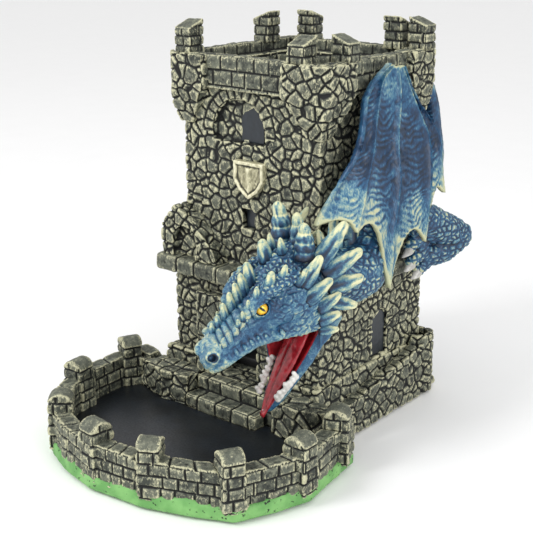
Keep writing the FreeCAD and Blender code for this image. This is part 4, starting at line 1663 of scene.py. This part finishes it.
# The left cheek's spikes as base, tip and half width: the long back fan, then the short front one
FRILL = [
    ((-1.5, 10.5, 29.5), (-19.4, 12.5, 38.6), 3.4),
    ((-2.0, 11.5, 24.5), (-20.2, 14.5, 25.4), 3.2),
    ((-1.5, 11.5, 18.5), (-16.5, 14.5, 15.0), 3.0),
    ((-0.5, 11.5, 13.0), (-9.8, 13.5, 5.0), 2.5),
    ((8.0, 11.6, 26.5), (-3.4, 14.2, 34.2), 2.7),
    ((9.5, 12.2, 20.5), (-3.2, 15.4, 23.6), 2.7),
    ((6.5, 12.6, 14.6), (-4.4, 15.2, 15.6), 2.4),
    ((8.0, 12.4, 9.4), (-1.2, 14.8, 8.2), 2.1),
    ((9.0, 11.8, 5.4), (1.6, 13.8, 1.6), 1.7),
]


def build_cheek_spikes(horn):
    rows = []
    for side in (-1, 1):
        for base, tip, wide in FRILL:
            ends = mirrored(base, side), mirrored(tip, side)
            rows.append((*ends, (0.1, side, 0.45), 1.1 * wide, 0.34 * wide, 0.7, 0, 0.42, 0.6))
    piece("cheek_spikes_frill", head_spines(rows), horn, "cheek_spikes")


# The left brow's spikes as base, tip and half width
BROW_SPIKES = [
    ((26.6, 8.4, 30.6), (24.0, 10.2, 37.6), 1.5),
    ((20.4, 9.0, 32.0), (16.4, 11.0, 39.6), 2.2),
    ((14.4, 9.6, 31.8), (10.4, 11.6, 38.6), 1.8),
    ((30.4, 7.6, 28.4), (29.0, 9.2, 34.4), 1.25),
    ((33.4, 7.2, 26.6), (32.8, 8.8, 31.8), 1.1),
    ((36.2, 6.8, 25.4), (35.6, 8.4, 29.8), 1.1),
    ((9.2, 11.0, 27.4), (4.2, 13.6, 33.0), 1.7),
]


def build_brow_spikes(horn):
    """The brow's spikes. Those on the right are shorter, as in the photo."""
    rows = []
    for side, length in ((-1, 0.55), (1, 1.0)):
        for base, tip, wide in BROW_SPIKES:
            tip = np.array(base) + (np.array(tip) - base) * length
            ends = mirrored(base, side), mirrored(tip, side)
            rows.append((*ends, (0.2, side, 0.2), wide, 0.7 * wide, 0.3, 0, 0.42, 0.2))
    piece("brow_spikes_horn", head_spines(rows), horn, "brow_spikes")


def add_limb(field, rows):
    """Adds a limb through rows of (x, y, z, radius)."""
    least = 0.3
    line = spline(rows, 4)
    for a, b in zip(line[:-1], line[1:]):
        field.add(rod(a[:3], b[:3], max(a[3], least), max(b[3], least)), 0.6)


def trimmed_to_keep(field):
    """Hollows a dragon piece where it lies against the keep, a little inside the stone."""
    inside = 1.2
    half = shaft_high[0] - inside
    field.cut(block([-half, -half, course_high[2] - 1], [half, half, shaft_high[2] + CLEAR]))
    field.cut(block([-46, -46, course_low[2] + inside], course_high - inside))
    storey = storey_high - inside
    field.cut(block([-storey[0], -storey[0], 20], [storey[0], storey[1], course_low[2] + 2]))
    return field


def scaled_hide(skin, size, salt, depth, pale, flow):
    """Overlapping scales: each stands up at its rear edge, which lies along flow."""
    p = skin.points
    border, tone, offset = cells(p + 0.5 * noise(p, 3.0, salt)[:, None], (size, size, size * 0.8), salt)
    rear = np.asarray(offset) @ np.array(flow, float)
    normals = skin.averaged(skin.normals(), 2)
    height = depth * smoothstep(0, 0.32 * size, border) - 0.6 * depth + 0.18 * rear
    height += 0.3 * noise(p, 7.0, salt + 3) + 0.12 * noise(p, 1.4, salt + 4)
    skin.push(height, normals)
    skin.rub(8, 0.36)
    skin.paint["tone"] = tone
    skin.paint["pale"] = pale + 0.1 * noise(skin.points, 9.0, salt + 5)
    skin.paint["mouth"] = np.zeros(len(p))
    return skin


# Limbs as (x, y, z, radius)
NECK = [
    (46, -52, 83, 8),
    (48.5, -43, 79, 10),
    (50, -34, 77, 11.5),
    (49.5, -23, 80, 11.2),
    (44.5, -9, 93, 11.5),
    (42.5, 3, 99, 11.5),
]
BODY = [
    (42.5, 1, 98, 11.5),
    (42, 14, 101, 12),
    (39.5, 26, 103, 12.5),
    (34, 35, 106, 11.5),
    (24, 40, 108, 12),
    (10, 43, 105, 13),
    (-7, 43, 97, 11.5),
]
TAIL = [
    (-4, 43, 98, 11.5),
    (-22, 44, 84, 9.5),
    (-30, 45, 66, 8),
    (-24, 46, 48, 7),
    (-8, 47, 36, 6),
    (12, 48, 30, 4.5),
    (30, 48, 25, 2.5),
]
FORELEG = [
    [(51, 15, 90, 8), (55, 28, 84, 7.6), (58.5, 38, 79, 6.2)],
    [(58.5, 38, 79, 6.2), (54.5, 31, 73, 6.2), (50.5, 24, 71.5, 5.6)],
]
HIND_LEG = [
    [(10, 48, 98, 9), (17, 54, 90, 8), (20, 56, 80, 6.6)],
    [(20, 56, 80, 6.6), (16, 52, 73, 6), (8, 48, 70, 5)],
]
# The toes' knuckles, as (y, z) on the right wall and (x, z) on the back wall
FORE_TOES = [(15, 77), (17, 70), (23, 65)]
HIND_TOES = [(1, 76), (3, 69), (9, 64)]


def limb_piece(node, limbs, hide, size, salt, depth, pale, flow, below=3):
    """Limbs in scaled hide, hollowed where they lie against the keep."""
    low, high = box_mm(node)
    field = Field(low - below, high + 3, SKIN_VOXEL)
    for rows in limbs:
        add_limb(field, rows)
    skin = trimmed_to_keep(field).skin().smooth(1)
    piece(node + "_hide", scaled_hide(skin, size, salt, depth, pale, flow), hide, node)


def build_limbs(hide):
    fore_toes = [[(51, 24, 72, 4.2), (51, y, z + 3.4, 3.4), (50, y - 4, z, 2.6)] for y, z in FORE_TOES]
    hind_toes = [[(9, 48, 71, 4), (x, 47.5, z + 3, 3.2), (x - 4, 47, z, 2.6)] for x, z in HIND_TOES]
    limb_piece("dragon_neck", [NECK], hide, 3.6, 111, 0.6, 0.0, (0, 0.3, 0), below=4)
    limb_piece("dragon_body", [BODY], hide, 4.2, 121, 0.65, -0.05, (0, 0.3, 0))
    limb_piece("dragon_tail", [TAIL], hide, 3.8, 131, 0.6, 0.0, (0, 0, -0.3))
    limb_piece("foreleg", FORELEG + fore_toes, hide, 3.2, 141, 0.6, 0.0, (0, -0.25, 0))
    limb_piece("hind_leg", HIND_LEG + hind_toes, hide, 3.2, 151, 0.6, 0.0, (-0.25, 0, 0))


def claw(base, tip):
    return spine(base, tip, 2.3, 2.1, (1, 0.2, 0.3), 0.9, 0, 0.12, 0.0)


def build_claws(white):
    fore = [claw((50, y - 2.6, z + 0.8), (49.2, y - 8.0, z - 3.2)) for y, z in FORE_TOES]
    hind = [claw((x - 2.6, 47, z + 0.8), (x - 8.0, 47, z - 3.2)) for x, z in HIND_TOES]
    for name, skins in (("foreleg_claws", fore), ("hind_leg_claws", hind)):
        skin = joined(skins).rub(5, 0.3)
        piece(name + "_enamel", skin, white, name)


def build_neck_spines(horn):
    rows = [
        ((47, -40, 85), (43.5, -37, 103), 3.6),
        ((48, -30, 84), (44, -26, 105), 4.2),
        ((49, -20, 84), (44.5, -15, 104), 3.6),
        ((47, -46, 82), (42.5, -45, 97), 2.8),
    ]
    skins = [spine(base, tip, wide, 1.5, (1, -0.5, 0), 0.8, 0, 0.3, 0.5) for base, tip, wide in rows]
    piece("neck_spines_horn", joined(skins).rub(5, 0.3), horn, "neck_spines")


# Each rib of the wing on the right wall, from the wrist at the top down to the hem, as (y, z)
LEFT_RIBS = [
    [(-2, 158), (-20, 148), (-26, 137), (-36, 121), (-44, 109), (-51, 100)],
    [(0, 157), (-10, 151), (-17, 139), (-23, 127), (-32, 114), (-42.5, 98)],
    [(3, 156), (1.6, 144), (-5, 128), (-8, 113), (-14, 99), (-26, 72)],
    [(6, 156), (12.5, 139), (18, 125), (15, 109), (10, 94.5), (4.6, 84)],
    [(8, 156), (13, 143), (22, 132), (26, 123), (24.5, 111.6), (24, 101)],
]
# The same for the wing on the back wall, as (x, z)
RIGHT_RIBS = [
    [(20, 157), (33, 146), (37, 137), (38, 121), (38, 108), (36, 97)],
    [(18, 157), (24, 148), (28, 137), (30, 123), (31, 110), (29, 93)],
    [(16, 156), (15, 143), (14, 128), (14, 113), (14, 97), (14, 70)],
    [(13, 156), (4, 140), (-2, 127), (-5, 112), (-8, 98), (-11, 81)],
    [(11, 156), (1, 145), (-10, 130), (-15, 118), (-18, 108), (-19, 99)],
]
# Heights, and how far the ribs stand off from the keep's axis there
RIB_STAND_OFF = [(60, 65), (75, 63.8), (87, 61), (95, 59.4), (110, 56.8), (135, 51), (160, 45.2)]
WING_THICKNESS = 2.0


def even_line(rib, count):
    """A smooth line along a rib, as evenly spaced points."""
    line = spline(rib, 12)
    length = np.r_[0, np.cumsum(np.linalg.norm(np.diff(line, axis=0), axis=1))]
    even = np.linspace(0, length[-1], count)
    return np.stack([np.interp(even, length, line[:, k]) for k in (0, 1)], 1)


def closed_sheet(front, thickness):
    """A sheet from rows and columns of points, with a back that lies thickness below them in z."""
    back = front.copy()
    back[..., 2] -= thickness
    rows, columns = front.shape[:2]
    points = np.vstack([front.reshape(-1, 3), back.reshape(-1, 3)])
    start = rows * columns
    i, j = np.meshgrid(np.arange(rows - 1), np.arange(columns - 1), indexing="ij")
    a = (i * columns + j).ravel()
    b, c, d = a + columns, a + columns + 1, a + 1
    top = np.stack([a, b, c, d], 1)
    bottom = np.stack([d, c, b, a], 1) + start
    ring = [(k, 0) for k in range(rows)]
    ring += [(rows - 1, k) for k in range(1, columns)]
    ring += [(k, columns - 1) for k in range(rows - 2, -1, -1)]
    ring += [(0, k) for k in range(columns - 2, 0, -1)]
    edge = np.array([r * columns + k for r, k in ring])
    after = np.roll(edge, -1)
    rim = np.stack([edge, edge + start, after + start, after], 1)
    return Skin(points, np.vstack([top, bottom, rim]))


def wing_skin(ribs, place, tuck):
    """A webbed sheet over ribs, sagging and wrinkled between them, with a scalloped hem.

    place turns (along the wall, up, out from it) into the frame, and tuck draws the leading edge's foot in.
    """
    down = int(110 / COARSE)
    between = int(34 / COARSE)
    share = np.linspace(0, 1, down)
    lines = [even_line(rib, down) for rib in ribs]
    columns = []
    web = []
    lead = []
    spans = len(ribs) - 1
    for i in range(spans):
        for w in np.linspace(0, 1, between, endpoint=i == spans - 1):
            arch = 4 * w * (1 - w)
            flat = lines[i] * (1 - w) + lines[i + 1] * w
            hem = 1 - 0.16 * arch * (0.35 if i == 0 else 1)
            index = np.clip(share * hem * (down - 1), 0, down - 1)
            columns.append(np.stack([np.interp(index, np.arange(down), flat[:, k]) for k in (0, 1)], 1))
            web.append(np.full(down, arch))
            lead.append(np.full(down, (1 - w) ** 2 if i == 0 else 0.0))
    grid = np.array(columns)
    sag = np.array(web)
    share = np.tile(share, (len(grid), 1))
    valley = sag**0.6
    depth = 0.4 + 2.0 * np.sin(math.pi * np.clip(share, 0, 1)) ** 0.7
    flat = np.stack([grid[..., 0], grid[..., 1], 0 * share], -1).reshape(-1, 3)
    bend = (1.2 * noise(flat, 9.0, 161) + 0.5 * noise(flat, 3.5, 162)).reshape(share.shape)
    wrinkle = np.abs(np.sin(math.pi * (grid[..., 1] + 5.0 * (valley - 1) + 2.4 * bend) / 2.5)) ** 0.8
    relief = (0.5 * wrinkle - 0.28) * valley * smoothstep(0.12, 0.35, share)
    rib = np.exp(-((sag / 0.3) ** 2))
    out = np.interp(grid[..., 1], *np.array(RIB_STAND_OFF, float).T)
    out = out - depth * valley + relief + 0.7 * rib + 0.2 * bend
    out -= tuck * np.array(lead) * smoothstep(0.5, 1.0, share)
    skin = closed_sheet(np.stack([grid[..., 0], grid[..., 1], out], -1), WING_THICKNESS)
    skin.points = np.array([place(*p) for p in skin.points])
    start = share.size
    if np.mean(skin.normals()[:start] @ (skin.points[:start].mean(0) * [1, 1, 0])) < 0:
        skin.quads = skin.quads[:, ::-1]
    skin.push(0.12 * noise(skin.points, 1.1, 163) + 0.2 * noise(skin.points, 2.6, 164))
    skin.rub(8, 0.5)
    # The ribs are brushed less, and the hem and the wrist more
    share, sag, rib = (np.r_[values.ravel(), values.ravel()] for values in (share, sag, rib))
    skin.paint["proud"] *= 1 - 0.65 * rib
    skin.paint["tone"] = np.full(len(share), 0.4)
    hem = smoothstep(0.62, 0.95, share)
    wrist = smoothstep(0.34, 0.05, share)
    middle = smoothstep(0.2, 0.45, share) * (1 - hem)
    skin.paint["pale"] = 0.50 * hem + 0.22 * wrist + 0.05 * (1 - sag) - 0.22 * middle
    skin.paint["mouth"] = np.zeros(len(share))
    return skin


def build_wings(web):
    left = wing_skin(LEFT_RIBS, lambda a, z, out: (out, a, z), 13.0)
    piece("left_wing_web", left, web, "left_wing")
    right = wing_skin(RIGHT_RIBS, lambda a, z, out: (a, out, z), 0.0)
    piece("right_wing_web", right, web, "right_wing")


def build_dragon():
    hide = skin_material("dragon_hide")
    web = skin_material("wing_paint", (1, 1, 0.35))
    horn = horn_material()
    red = gloss_material("tongue_enamel", srgb(122, 14, 24), srgb(176, 44, 54), 0.25, 0.5)
    white = gloss_material("tooth_enamel", srgb(176, 174, 168), srgb(232, 231, 226), 0.3, 0.3)
    build_head(hide)
    build_jaw(hide)
    build_tongue(red)
    build_teeth(white)
    build_eyes(eye_material())
    build_horns(horn)
    build_crest(horn)
    build_cheek_spikes(horn)
    build_brow_spikes(horn)
    build_limbs(hide)
    build_claws(white)
    build_neck_spines(horn)
    build_wings(web)


# ---------------------------------------------------------------- camera and light


# The camera, solved from the photo: place in millimetres, heading and pitch in degrees, lens in millimetres
CAMERA_PLACE = (287.4, -375.8, 215.2)
CAMERA_HEADING = 39.37
CAMERA_PITCH = 18.02
CAMERA_LENS = 73.1


def make_camera():
    """Three-quarter view from the front right, slightly above."""
    data = bpy.data.cameras.new("camera")
    data.lens = CAMERA_LENS
    data.sensor_width = 36.0
    camera = bpy.data.objects.new("camera", data)
    camera.location = Vector(CAMERA_PLACE) * MM
    heading = math.radians(CAMERA_HEADING)
    pitch = math.radians(CAMERA_PITCH)
    level = math.cos(pitch)
    looking = Vector((-math.sin(heading) * level, math.cos(heading) * level, -math.sin(pitch)))
    camera.rotation_mode = "QUATERNION"
    camera.rotation_quaternion = looking.to_track_quat("-Z", "Y")
    bpy.context.scene.collection.objects.link(camera)
    bpy.context.scene.camera = camera


def area_light(name, place, target, size, power):
    """A square light, with place, target and size in metres."""
    data = bpy.data.lights.new(name, "AREA")
    data.size = size
    data.energy = power
    light = bpy.data.objects.new(name, data)
    light.location = place
    light.rotation_mode = "QUATERNION"
    light.rotation_quaternion = (Vector(target) - Vector(place)).to_track_quat("-Z", "Y")
    bpy.context.scene.collection.objects.link(light)


def make_stage():
    """A pale floor, soft light all round, a key from the front left and a weaker light from the right."""
    size = 3.0
    corners = [(-size, -size, 0), (size, -size, 0), (size, size, 0), (-size, size, 0)]
    mesh = bpy.data.meshes.new("floor")
    mesh.from_pydata(corners, [], [(0, 1, 2, 3)])
    floor = bpy.data.objects.new("floor", mesh)
    bpy.context.scene.collection.objects.link(floor)
    paint = Paint("floor_paper", roughness=0.9)
    grain = paint.noise(30.0, 2.0)
    paint.colour(paint.mixed(grain, srgb(250, 250, 250), srgb(253, 253, 253)))
    floor.data.materials.append(paint.material)
    world = bpy.data.worlds.new("studio")
    world.use_nodes = True
    world.node_tree.nodes["Background"].inputs["Color"].default_value = (1, 1, 1, 1)
    world.node_tree.nodes["Background"].inputs["Strength"].default_value = 0.86
    bpy.context.scene.world = world
    bpy.context.scene.view_settings.view_transform = "Standard"
    middle = (0.0, -0.03, 0.08)
    area_light("key", (-0.25, -0.75, 0.75), middle, 0.35, 4.5)
    area_light("side", (0.8, -0.25, 0.45), middle, 0.4, 2.4)


def build_keep():
    stone = stone_material()
    build_shaft(stone)
    build_storey(stone)
    build_base(stone)
    build_gate_surround(stone)
    build_string_course(stone)
    build_corner_turret(stone)
    build_parapet(stone)
    # The bartizans are paler: heavier dry brush, and partly a painted highlight for the light that falls on
    # them.
    build_bartizans(stone_material("stone_brush_and_painted_highlight", 0.14))
    build_merlons(stone)
    build_terrace_wall(stone)
    build_plinths(stone)
    build_steps(stone)
    build_tray_wall(stone)
    build_buttresses(stone)
    build_ground(grass_material())
    build_mat(mat_material())
    build_ramps(dark_material("chute_paint", srgb(16, 17, 18), 0.5))
    build_felt(felt_material())
    build_panes(dark_material("slate_panes", srgb(30, 37, 44), 0.35))
    build_shield(bone_material())


make_camera()
make_stage()
build_keep()
build_dragon()
